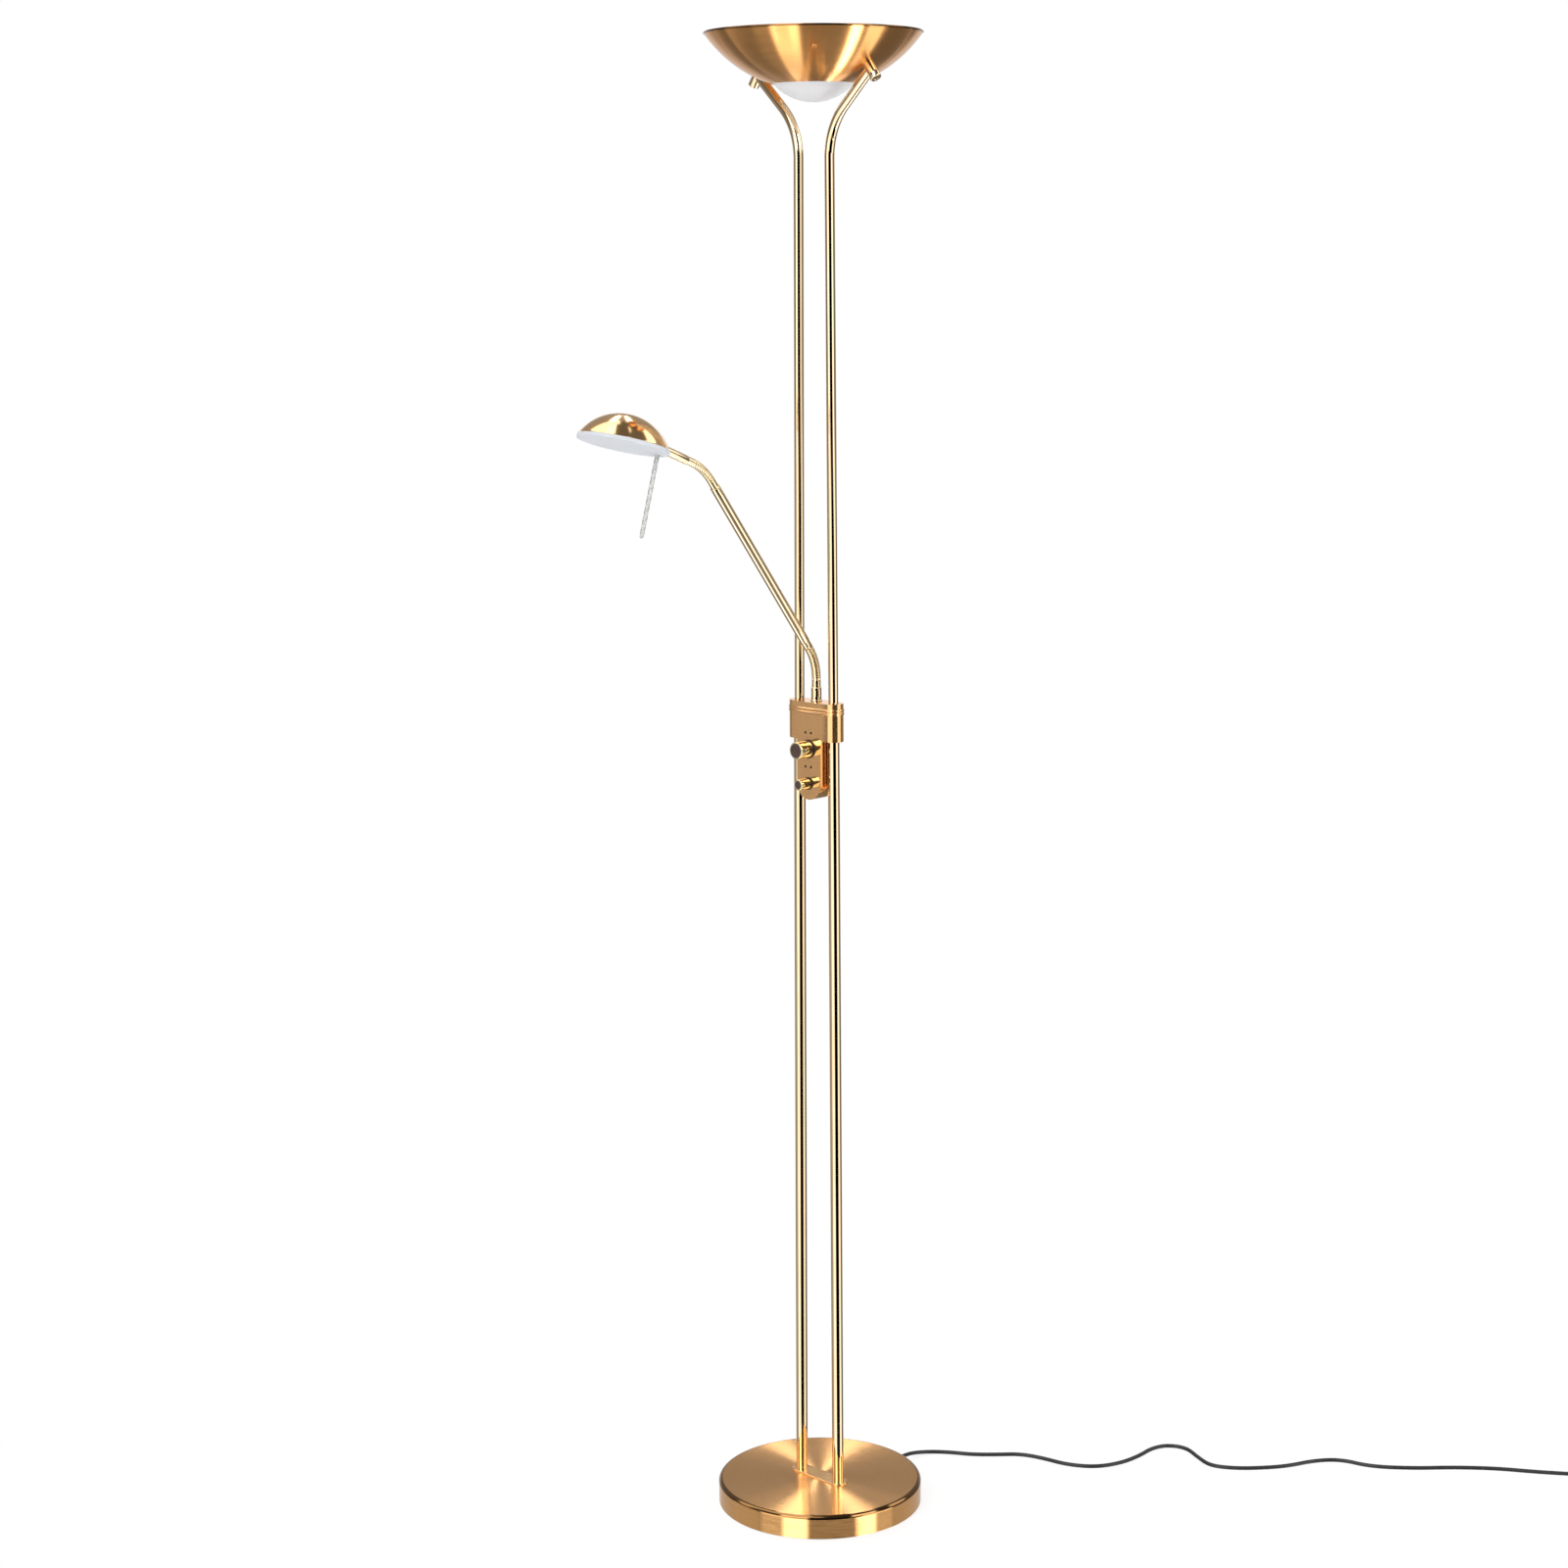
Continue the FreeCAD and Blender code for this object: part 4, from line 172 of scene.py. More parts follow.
def stretched(tree, where, x, y, z):
    return vector_maths(tree, "MULTIPLY", where, (x, y, z))


def blank_material(name):
    material = bpy.data.materials.new(name)
    material.use_nodes = True
    tree = material.node_tree
    tree.nodes.clear()
    return material, tree, node(tree, "TexCoord").outputs["Object"]


def new_material(name, inputs):
    material, tree, where = blank_material(name)
    shader = node(tree, "BsdfPrincipled", inputs)
    node(tree, "OutputMaterial", {"Surface": shader.outputs[0]})
    return material, tree, shader, where


def uneven(tree, value, low, high):
    """A roughness from low to high, over the range that a noise mostly keeps to."""
    return spread(tree, value, 0.3, 0.7, low, high, smooth=False)


def finish(tree, shader, colour, roughness, height, distance, strength):
    """Links a material's colour, roughness and relief; distance is the relief's depth in millimetres."""
    bump = node(tree, "Bump", {"Height": height, "Distance": distance * MM, "Strength": strength})
    tree.links.new(colour, shader.inputs["Base Color"])
    tree.links.new(roughness, shader.inputs["Roughness"])
    tree.links.new(bump.outputs["Normal"], shader.inputs["Normal"])


# Materials. Noise scales are in waves per metre, and depths are in millimetres.

def around_axis(tree, where, turns, rings):
    """Coordinates for marks that run round the Z axis: long along the turn, fine across it."""
    flat = stretched(tree, where, 1, 1, 0)
    radius = vector_maths(tree, "LENGTH", flat)
    way = vector_maths(tree, "NORMALIZE", flat)
    across = maths(tree, "MULTIPLY", maths(tree, "SUBTRACT", radius, height_of(tree, where)), rings)
    lifted = node(tree, "CombineXYZ", {"Z": across}).outputs[0]
    return vector_maths(tree, "ADD", stretched(tree, way, turns, turns, 0), lifted), radius


def spun_brass(name, colour, dark, edge_radius, edge_height, roughness=0.22, depth=0.02):
    """Brass sheet brushed while it turns on the lathe: fine circular lines and a long soft highlight.
    Outside edge_radius it is polished, and above edge_height that part is painted dark: a painted
    reflection on the rounded edge."""
    soft = 0.8
    polish = 0.18
    darker = 0.30
    # Painted reflection: the edge colour is the dark brass at under a third, standing in for the dark
    # reflection that the rounded edge shows.
    painted_dark_edge = (*(part * darker for part in dark), 1.0)
    material, tree, shader, where = new_material(
        name, {"Metallic": 1.0, "Anisotropic": 1.0, "Anisotropic Rotation": 0.25})
    fine, radius = around_axis(tree, where, turns=3.0, rings=2600.0)
    coarse, _ = around_axis(tree, where, turns=1.6, rings=420.0)
    lines = noise(tree, fine, scale=1.0, detail=3.0, roughness=0.6)
    bands = noise(tree, coarse, scale=1.0)
    stain = noise(tree, where, scale=14.0, detail=4.0, roughness=0.6)
    tone = weighed(tree, (lines, 0.45), (bands, 0.35), (stain, 0.2))
    edge = spread(tree, radius, edge_radius * MM, (edge_radius + soft) * MM)
    high = spread(tree, height_of(tree, where), edge_height * MM, (edge_height + soft) * MM)
    brass = ramp(tree, tone, [(0.32, dark), (0.62, colour)])
    # The painted dark edge covers what lies outside edge_radius and above edge_height.
    tone_colour = mixed(tree, maths(tree, "MULTIPLY", edge, high), brass, painted_dark_edge)
    brushed = uneven(tree, tone, roughness - 0.03, roughness + 0.03)
    gloss = maths(tree, "MULTIPLY", brushed, spread(tree, edge, 0.0, 1.0, 1.0, polish))
    tangent = node(tree, "Tangent", direction_type="RADIAL", axis="Z")
    tree.links.new(tangent.outputs[0], shader.inputs["Tangent"])
    finish(tree, shader, tone_colour, gloss, lines, depth, strength=0.6)
    return material


def polished_brass(name, colour, dark, roughness, along=(60.0, 60.0, 5.0)):
    """Bright brass under clear lacquer, with faint drawing lines, a cloudy tone and dust marks."""
    material, tree, shader, where = new_material(
        name, {"Metallic": 1.0, "Coat Weight": 0.1, "Coat Roughness": 0.05})
    lines = noise(tree, stretched(tree, where, *along), scale=6.0, detail=3.0, roughness=0.6)
    cloud = noise(tree, where, scale=24.0, detail=3.0, roughness=0.55)
    dust = noise(tree, where, scale=120.0)
    tone = weighed(tree, (lines, 0.5), (cloud, 0.5))
    marks = spread(tree, dust, 0.55, 0.80, 0.0, 0.02)
    gloss = maths(tree, "ADD", uneven(tree, cloud, roughness - 0.01, roughness + 0.02), marks)
    brass = ramp(tree, tone, [(0.3, dark), (0.66, colour)])
    finish(tree, shader, brass, gloss, cloud, distance=0.02, strength=0.1)
    return material


def satin_brass(name, colour, dark, roughness, along, depth=0.02):
    """Brass brushed one way; along is large across the brush lines and small along them."""
    material, tree, shader, where = new_material(name, {"Metallic": 0.95})
    lines = noise(tree, stretched(tree, where, *along), scale=1.0, detail=4.0, roughness=0.65)
    cloud = noise(tree, where, scale=40.0, detail=3.0, roughness=0.6)
    tone = weighed(tree, (lines, 0.6), (cloud, 0.4))
    brass = ramp(tree, tone, [(0.32, dark), (0.64, colour)])
    gloss = uneven(tree, tone, roughness - 0.03, roughness + 0.03)
    finish(tree, shader, brass, gloss, lines, depth, strength=0.6)
    return material


def moulded(name, colour, other, roughness, grain=1400.0, depth=0.03, sheen=0.0):
    """Moulded plastic, rubber or paint: a fine grain, a faint cloud of tone and uneven gloss."""
    material, tree, shader, where = new_material(name, {"Sheen Weight": sheen})
    fine = noise(tree, where, grain, detail=3.0, roughness=0.6)
    cloud = noise(tree, where, scale=35.0, detail=3.0, roughness=0.6)
    tone = ramp(tree, cloud, [(0.3, other), (0.7, colour)])
    gloss = uneven(tree, fine, roughness - 0.06, roughness + 0.06)
    finish(tree, shader, tone, gloss, fine, depth, strength=0.5)
    return material


def plain_metal(name, colour, dark, roughness, grain=500.0, depth=0.03):
    """Plated or cast metal with a mottled surface."""
    material, tree, shader, where = new_material(name, {"Metallic": 1.0})
    mottle = noise(tree, where, grain, detail=4.0, roughness=0.65)
    cloud = noise(tree, where, scale=45.0, detail=3.0, roughness=0.6)
    tone = weighed(tree, (mottle, 0.5), (cloud, 0.5))
    metal = ramp(tree, tone, [(0.35, dark), (0.62, colour)])
    gloss = uneven(tree, mottle, roughness - 0.08, roughness + 0.08)
    finish(tree, shader, metal, gloss, mottle, depth, strength=0.5)
    return material


def frosted(name, colour, other, roughness=0.60, transmission=0.0):
    """Sand-blasted glass: milky and matt, with a faint cloud of tone."""
    material, tree, shader, where = new_material(name, {"Transmission Weight": transmission, "IOR": 1.5})
    fine = noise(tree, where, scale=160.0)
    cloud = noise(tree, stretched(tree, where, 1.0, 1.0, 2.5), scale=22.0)
    tone = ramp(tree, cloud, [(0.3, other), (0.7, colour)])
    gloss = uneven(tree, fine, roughness - 0.05, roughness + 0.05)
    finish(tree, shader, tone, gloss, cloud, distance=0.003, strength=0.1)
    return material


def clear_glass(name, tint, rim, roughness, transmission):
    """Clear glass with painted shade where it is seen edge on, standing in for the dark edges that
    refraction gives, and a little unevenness from its drawing.
    """
    material, tree, shader, where = new_material(name, {"Transmission Weight": transmission, "IOR": 1.47})
    cloud = noise(tree, stretched(tree, where, 1.0, 1.0, 0.2), scale=90.0)
    # Painted shade: the colour turns to the edge colour where the surface is seen edge on.
    facing = node(tree, "LayerWeight", {"Blend": 0.5}).outputs["Facing"]
    edge = spread(tree, facing, 0.20, 0.65)
    paler = tuple(min(1.0, part * 1.12) for part in tint)
    clear = ramp(tree, cloud, [(0.3, tint), (0.7, paler)])
    gloss = uneven(tree, cloud, roughness, roughness + 0.06)
    finish(tree, shader, mixed(tree, edge, clear, (*rim, 1.0)), gloss, cloud, distance=0.02, strength=0.3)
    return material


# The base's top rounding and the bowl's rolled rim both get the painted dark edge.
SPUN = spun_brass("spun_brass_base", (0.85, 0.46, 0.18), (0.78, 0.41, 0.15),
                  edge_radius=BASE_RADIUS - 4.8, edge_height=BASE_HEIGHT - 4.2)
BOWL = spun_brass("spun_brass_bowl", (0.88, 0.44, 0.155), (0.80, 0.385, 0.13),
                  edge_radius=126.2, edge_height=RIM_Z - 3.2)
POLE = polished_brass("polished_brass_poles", (0.89, 0.69, 0.44), (0.84, 0.62, 0.37), roughness=0.03)
NECK = polished_brass("polished_brass_necks", (0.86, 0.69, 0.43), (0.78, 0.59, 0.34), roughness=0.10)
SHADE = polished_brass("polished_brass_shade", (0.92, 0.60, 0.29), (0.86, 0.51, 0.22),
                       roughness=0.13, along=(30.0, 30.0, 30.0))
KNOB = polished_brass("polished_brass_knobs", (0.90, 0.79, 0.50), (0.82, 0.69, 0.36),
                      roughness=0.07, along=(40.0, 8.0, 40.0))
HOUSING = satin_brass("satin_brass_housing", (0.92, 0.53, 0.24), (0.86, 0.47, 0.20),
                      roughness=0.10, along=(120.0, 120.0, 12.0), depth=0.002)
FOOT = satin_brass("satin_brass_foot", (0.82, 0.50, 0.22), (0.66, 0.37, 0.15),
                   roughness=0.26, along=(60.0, 600.0, 60.0))
# Painted reflection: a dark matt colour on the knobs' end faces in place of the dark surroundings that the
# polished faces mirror.
KNOB_FACE_REFLECTION = moulded("painted_reflection_knob_face", rgb(72, 50, 40), rgb(46, 30, 26), roughness=0.55, grain=700.0, depth=0.04)
# Painted shade: a near-black ring standing in for the shadowed gap where each knob meets the wall.
KNOB_GAP_SHADE = moulded("painted_shade_knob_ring", rgb(34, 24, 18), rgb(18, 13, 11), roughness=0.35)
ZINC = plain_metal("zinc_plated_steel", (0.62, 0.62, 0.60), (0.42, 0.42, 0.42), roughness=0.34)
IRON = plain_metal("cast_iron", (0.20, 0.19, 0.18), (0.09, 0.085, 0.08),
                   roughness=0.62, grain=350.0, depth=0.15)
FOAM = moulded("black_foam", rgb(40, 40, 42), rgb(26, 26, 28),
               roughness=0.86, grain=2200.0, depth=0.15, sheen=0.2)
RUBBER = moulded("black_rubber", rgb(21, 21, 22), rgb(11, 11, 12), roughness=0.5, grain=1800.0)
PLASTIC = moulded("black_plastic", rgb(36, 36, 38), rgb(24, 24, 25), roughness=0.36)
WHITE = moulded("white_plastic", rgb(232, 230, 224), rgb(216, 213, 205), roughness=0.42)
CERAMIC = moulded("white_ceramic", rgb(240, 237, 230), rgb(224, 220, 211), roughness=0.30, grain=800.0)
DISH = frosted("frosted_glass_dish", (0.60, 0.60, 0.61), (0.56, 0.56, 0.58), transmission=0.04)
DISC = frosted("frosted_glass_disc", (0.50, 0.52, 0.55), (0.48, 0.50, 0.53))
# The rod's edge colour is near black and the lamp's is grey: painted shade at their edges.
ROD = clear_glass("clear_glass_rod", (0.56, 0.56, 0.54), (0.05, 0.05, 0.05),
                  roughness=0.20, transmission=0.30)
LAMP = clear_glass("lamp_glass", (0.90, 0.90, 0.88), (0.55, 0.55, 0.54),
                   roughness=0.10, transmission=0.80)
BLADE = plain_metal("plug_brass", (0.80, 0.60, 0.32), (0.66, 0.46, 0.22), roughness=0.24)
INK = moulded("dark_print", rgb(34, 18, 12), rgb(20, 10, 8), roughness=0.8)

CAD_MATERIALS = (
    (ZINC, ("base_nuts", "base_plate", "base_washers", "bowl_screws", "coupler_screws", "handle_nut",
            "housing_screws", "lamp_bracket", "plate_screws", "pole_couplers", "pole_plugs", "pole_studs",
            "shade_ring", "socket_nut")),
    (HOUSING, ("housing_back", "housing_body")),
    (CERAMIC, ("lamp_ends", "lamp_holders", "reading_lamp_holder")),
    (LAMP, ("lamp_tube", "reading_lamp")),
    (PLASTIC, ("coil_tie", "dimmer_main", "dimmer_reading")),
    (WHITE, ("shaft_main", "shaft_reading", "terminal_block")),
    (NECK, ("arm_tube_ends",)),
    (FOAM, ("base_pad",)),
    (IRON, ("base_weight",)),
    (BLADE, ("plug_blades",)),
    (RUBBER, ("plug",)),
)


# Mesh helpers

# Points closer than this many metres are one point, and radii under this many millimetres are nought.
SAME_POINT = 1e-7
ON_AXIS = 1e-6
TUBE_STEPS = 64


def mesh_piece(name, skin, material, body, replaced=(), sharp=38.0):
    """A new mesh object from points and faces; edges steeper than sharp, in degrees, stay crisp."""
    points, faces = skin
    mesh = bpy.data.meshes.new(name)
    mesh.from_pydata([tuple(Vector(point) * MM) for point in points], [], faces)
    made = bmesh.new()
    made.from_mesh(mesh)
    bmesh.ops.remove_doubles(made, verts=made.verts, dist=SAME_POINT)
    bmesh.ops.recalc_face_normals(made, faces=made.faces)
    made.to_mesh(mesh)
    made.free()
    mesh.polygons.foreach_set("use_smooth", [True] * len(mesh.polygons))
    mesh.set_sharp_from_angle(angle=math.radians(sharp))
    piece = bpy.data.objects.new(name, mesh)
    scene.collection.objects.link(piece)
    mesh.materials.append(material)
    if body:
        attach(piece, body)
    if replaced:
        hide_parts(*replaced)
    return piece


def arc(centre_r, centre_z, radius, start, stop, steps):
    """Points on an arc of a half outline, angles in degrees from the outward radius."""
    points = []
    for step in range(steps + 1):
        angle = math.radians(start + (stop - start) * step / steps)
        points.append((centre_r + radius * math.cos(angle), centre_z + radius * math.sin(angle)))
    return points


def turned(profile, matrix=None, segments=96, closed=True):
    """The points and faces of a half outline of (radius, height) turned about its own Z."""
    matrix = matrix or Matrix.Identity(4)
    points = []
    rows = []
    for radius, height in profile:
        if radius < ON_AXIS:
            rows.append([len(points)] * segments)
            points.append(matrix @ Vector((0, 0, height)))
            continue
        rows.append([len(points) + step for step in range(segments)])
        for step in range(segments):
            angle = 2 * math.pi * step / segments
            points.append(matrix @ Vector((radius * math.cos(angle), radius * math.sin(angle), height)))
    faces = []
    count = len(profile) if closed else len(profile) - 1
    for number in range(count):
        low = rows[number]
        high = rows[(number + 1) % len(profile)]
        for step in range(segments):
            after = (step + 1) % segments
            corners = [low[step], low[after], high[after], high[step]]
            face = list(dict.fromkeys(corners))
            if len(face) > 2:
                faces.append(face)
    return points, faces


def lathe(name, profile, material, body, replaced=(), matrix=None, segments=96, closed=True,
          sharp=38.0):
    mesh_piece(name, turned(profile, matrix, segments, closed), material, body, replaced, sharp)


def frame_at(point, x_way, z_way):
    """A matrix with its origin at a point, its Z along z_way and its X near x_way."""
    z_axis = Vector(z_way).normalized()
    x_axis = (Vector(x_way) - z_axis * z_axis.dot(Vector(x_way))).normalized()
    y_axis = z_axis.cross(x_axis)
    turn = Matrix((x_axis, y_axis, z_axis)).transposed().to_4x4()
    return Matrix.Translation(Vector(point)) @ turn


def rings_to_mesh(rings, cap=True):
    """Joins rings of points that have the same count into one skin."""
    points = [point for ring in rings for point in ring]
    size = len(rings[0])
    faces = []
    for number in range(len(rings) - 1):
        for step in range(size):
            after = (step + 1) % size
            faces.append([number * size + step, number * size + after,
                          (number + 1) * size + after, (number + 1) * size + step])
    if cap:
        faces.append(list(range(size))[::-1])
        faces.append([(len(rings) - 1) * size + step for step in range(size)])
    return points, faces


def joined(parts):
    """Several pairs of points and faces as one pair."""
    points = []
    faces = []
    for more, added in parts:
        faces += [[corner + len(points) for corner in face] for face in added]
        points += more
    return points, faces


def ring_at(matrix, radius):
    angles = [2 * math.pi * step / TUBE_STEPS for step in range(TUBE_STEPS)]
    return [matrix @ Vector((radius * math.cos(angle), radius * math.sin(angle), 0)) for angle in angles]


# Base

def make_base_cover():
    edge = 4.5
    chamfer = 0.4
    beside = 0.4
    low = 1.4
    inside = BASE_RADIUS - SHEET
    under = BASE_HEIGHT - SHEET
    outline = [(0, under), (BASE_RADIUS - edge, under), (inside, BASE_HEIGHT - edge), (inside, low),
               (BASE_RADIUS - chamfer, low), (BASE_RADIUS, low + chamfer)]
    # Close rows beside the rounding keep the smooth shading of the wall and the top flat.
    outline += [(BASE_RADIUS, low + 2 * chamfer), (BASE_RADIUS, BASE_HEIGHT - edge - beside)]
    outline += arc(BASE_RADIUS - edge, BASE_HEIGHT - edge, edge, 0, 90, 12)
    outline += [(radius, BASE_HEIGHT) for radius in (BASE_RADIUS - edge - beside, 100, 70, 40, 20, 0)]
    lathe("spun_base", outline, SPUN, "stand", ["base_cover"], segments=192, closed=False)


def make_foot_bar():
    """The bar with round ends that both poles stand on."""
    radius = 12.0
    steps = 32
    rows = []
    for inset, drop in ((0.0, 1.6), (0.0, 0.7), (0.18, 0.3), (0.5, 0.05), (0.9, 0.0), (4.0, 0.0)):
        ring = []
        for side in (1, -1):
            for step in range(steps + 1):
                angle = math.radians(-90 + 180 * step / steps)
                x = side * (POLE_FOOT_X + (radius - inset) * math.cos(angle))
                y = side * (radius - inset) * math.sin(angle)
                ring.append(Vector((x, y, FOOT_TOP - drop)))
        rows.append(ring)
    mesh_piece("foot_bar", rings_to_mesh(rows), FOOT, "stand", ["foot_plate"])


# Poles and standoffs

def make_lower_pole(side, sign):
    bore = LOWER_POLE_RADIUS - 1.0
    foot = Vector((sign * POLE_FOOT_X, 0, FOOT_TOP + 0.05))
    way = Vector((sign * POLE_JOIN_X, 0, POLE_JOIN_Z - 0.25)) - foot
    parts = 24
    outline = [(bore, 0)]
    outline += [(LOWER_POLE_RADIUS, way.length * part / parts) for part in range(parts + 1)]
    outline += [(bore, way.length)]
    lathe("lower_tube_" + side, outline, POLE, "stand", ["lower_pole_" + side],
          frame_at(foot, (1, 0, 0), way), TUBE_STEPS)


def coped(ring, along, axis_point, axis, radius):
    """A ring's points pushed along their tube as far as the near side of a round post."""
    across = along - axis * along.dot(axis)
    moved = []
    for point in ring:
        offset = point - axis_point
        off = offset - axis * offset.dot(axis)
        # It meets the post where a * reach ** 2 + b * reach + c is zero.
        a = across.dot(across)
        b = 2 * off.dot(across)
        c = off.dot(off) - radius ** 2
        reach = (-b - math.sqrt(max(b * b - 4 * a * c, 0.0))) / (2 * a)
        moved.append(point + along * reach)
    return moved


def make_upper_pole(side, sign, axis_point, axis):
    """A long straight tube, a bend outward under the bowl and a short run to the standoff."""
    bend = 80.0
    last = math.radians(46.5)
    run = 24.0
    straight_parts = 12
    bend_parts = 40
    first = -math.atan2(POLE_JOIN_X - POLE_HEAD_X, BEND_Z - POLE_JOIN_Z)

    def way(turn):
        return Vector((sign * math.sin(turn), 0, math.cos(turn)))

    start = Vector((sign * POLE_JOIN_X, 0, POLE_JOIN_Z + 0.2))
    straight = (BEND_Z - POLE_JOIN_Z) / math.cos(first)
    spots = []
    for part in range(straight_parts + 1):
        spots.append((start + way(first) * straight * part / straight_parts, first))
    bend_start = spots[-1][0]
    for part in range(1, bend_parts + 1):
        turn = first + (last - first) * part / bend_parts
        shift = Vector((sign * (math.cos(first) - math.cos(turn)), 0, math.sin(turn) - math.sin(first)))
        spots.append((bend_start + shift * bend, turn))
    spots.append((spots[-1][0] + way(last) * run, last))
    rings = [ring_at(frame_at(point, (0, 1, 0), way(turn)), UPPER_POLE_RADIUS) for point, turn in spots]
    rings.append(coped(rings[-1], way(last), axis_point, axis, STANDOFF_RADIUS - 0.03))
    mesh_piece("upper_tube_" + side, rings_to_mesh(rings, cap=False), POLE, "stand",
               ["upper_pole_" + side])


def make_standoff(side, axis_point, axis):
    foot = -0.05
    bevel = 0.2
    corner = 1.0
    length = 21.0
    dimple = length - 0.4
    profile = [(0, foot), (STANDOFF_RADIUS - bevel, foot), (STANDOFF_RADIUS, foot + bevel)]
    profile += [(STANDOFF_RADIUS, 5.0), (STANDOFF_RADIUS, 15.0), (STANDOFF_RADIUS, length - corner)]
    profile += arc(STANDOFF_RADIUS - corner, length - corner, corner, 0, 90, 5)
    profile += [(3.2, length), (3.0, dimple), (0, dimple)]
    lathe("standoff_post_" + side, profile, POLE, "stand", ["standoff_" + side],
          frame_at(axis_point, (0, 1, 0), axis), TUBE_STEPS, closed=False)


def make_poles():
    """Both sides: the standoffs are square to the bowl and meet it at STANDOFF_AT from its axis."""
    tilt = math.asin(STANDOFF_AT / BOWL_RADIUS)
    meet = BOWL_CENTRE - BOWL_RADIUS * math.cos(tilt)
    for side, sign in SIDES:
        axis_point = Vector((sign * STANDOFF_AT, 0, meet))
        axis = Vector((sign * math.sin(tilt), 0, -math.cos(tilt)))
        make_lower_pole(side, sign)
        make_upper_pole(side, sign, axis_point, axis)
        make_standoff(side, axis_point, axis)


# Bowl

def make_bowl():
    hole = 50.0
    roll = 1.1
    parts = 40
    inner = BOWL_RADIUS - SHEET
    rim = math.sqrt(BOWL_RADIUS ** 2 - (BOWL_CENTRE - RIM_Z + roll) ** 2)

    def below(radius, ball):
        return -math.degrees(math.acos(radius / ball))

    outline = arc(0, BOWL_CENTRE, BOWL_RADIUS, below(hole, BOWL_RADIUS), below(rim, BOWL_RADIUS), parts)
    outline += arc(rim - 0.6, RIM_Z - roll, roll, -40, 180, 12)
    outline += arc(0, BOWL_CENTRE, inner, below(rim - 1.4, inner), below(hole, inner), parts)
    lathe("spun_bowl", outline, BOWL, "stand", ["bowl"], segments=192)


def make_dish():
    """The frosted dish: a deep round bottom, with a lip that rests inside the bowl."""
    ball = 63.0
    wall = 3.0
    neck = 46.9
    inner_neck = 45.2
    centre = 1719.9 + ball
    seat = BOWL_RADIUS - SHEET - 0.1
    lip = 58.0
    lip_steps = (50, 53, 56, 57.6)
    parts = 36

    def on_ball(radius, ball_radius):
        return BOWL_CENTRE - math.sqrt(ball_radius ** 2 - radius ** 2)

    outline = arc(0, centre, ball, -90, -math.degrees(math.acos(neck / ball)), parts)
    outline += [(radius, on_ball(radius, seat) + 0.05) for radius in lip_steps]
    outline += [(lip, on_ball(lip, seat) + 0.6)]
    outline += [(radius, on_ball(radius, seat - 2.9)) for radius in lip_steps[::-1]]
    inner = ball - wall
    outline += arc(0, centre, inner, -math.degrees(math.acos(inner_neck / inner)), -90, parts)
    lathe("frosted_dish", outline, DISH, "stand", ["glass_dish"], segments=128, closed=False)


def make_rivets():
    """Two rivet heads across from each other on the bowl, an eighth of a turn from the standoffs."""
    away = 108.0
    tilt = math.asin(away / BOWL_RADIUS)
    diagonal = math.sqrt(0.5)
    corner = 1.0
    radius = 2.75
    heads = []
    for sign in (1, -1):
        out = Vector((sign * diagonal, -sign * diagonal, 0))
        way = out * math.sin(tilt) - Vector((0, 0, math.cos(tilt)))
        base = Vector((0, 0, BOWL_CENTRE)) + way * (BOWL_RADIUS + 0.02)
        profile = [(0, 0.0), (radius, 0.0)] + arc(radius - corner, 0.0, corner, 0, 90, 6)
        profile += [(0.8, 1.02), (0, 1.02)]
        heads.append(turned(profile, frame_at(base, (0, 0, 1), way), 32, closed=False))
    mesh_piece("rivet_heads", joined(heads), BOWL, "stand", ["bowl_rivets"])


# Knobs

def out_of_wall(height, x=0.0, gap=0.0):
    """A matrix on the housing's front wall whose Z points out of the wall."""
    return frame_at((x, WALL_FACE + gap, height), (1, 0, 0), (0, -1, 0))


def make_knobs():
    low = 2.0
    bore = 3.0
    recess = 4.0
    skirt = 1.6
    bevel = 0.4
    corner = 0.8
    pit = 0.9
    bulge = 0.25
    for name, height, radius, length, _, body in KNOBS:
        high = low + length
        profile = [(bore, low + recess), (radius - skirt, low + recess), (radius - skirt, low)]
        profile += [(radius - bevel, low)] + arc(radius - bevel, low + bevel, bevel, -90, 0, 4)
        profile += [(radius, low + length * part / 6) for part in range(1, 6)]
        profile += arc(radius - corner, high - corner, corner, 0, 90, 6)
        profile += [(radius - 1.7, high), (radius - 1.72, high - pit), (bore, high - pit)]
        lathe("knob_sleeve_" + name, profile, KNOB, body, ["knob_" + name],
              out_of_wall(height))

        # The end face's dark colour is a painted reflection on the polished knob.
        face = radius - 1.76
        under = high - 0.95
        shoulder = high - 0.08
        profile = [(0, under), (face, under), (face, high - 0.2), (face - 0.15, shoulder)]
        for part in range(7, -1, -1):
            profile.append((face * part / 8, shoulder - bulge * (1 - (part / 8) ** 2)))
        lathe("knob_face_" + name, profile, KNOB_FACE_REFLECTION, body, ["knob_cap_" + name],
              out_of_wall(height), closed=False)


def make_knob_rings():
    # Painted shade: these near-black rings round the knob roots stand in for the shadow in the gap between
    # knob and wall.
    bore = 4.6
    corner = 0.4
    rings = []
    for _, height, _, _, ring, _ in KNOBS:
        profile = [(bore, 0.1), (ring, 0.1), (ring, 1.3)] + arc(ring - corner, 1.3, corner, 0, 90, 4)
        profile += [(bore, 1.7)]
        rings.append(turned(profile, out_of_wall(height)))
    mesh_piece("knob_base_rings", joined(rings), KNOB_GAP_SHADE, "stand", ["knob_rings"])


# Reading arm

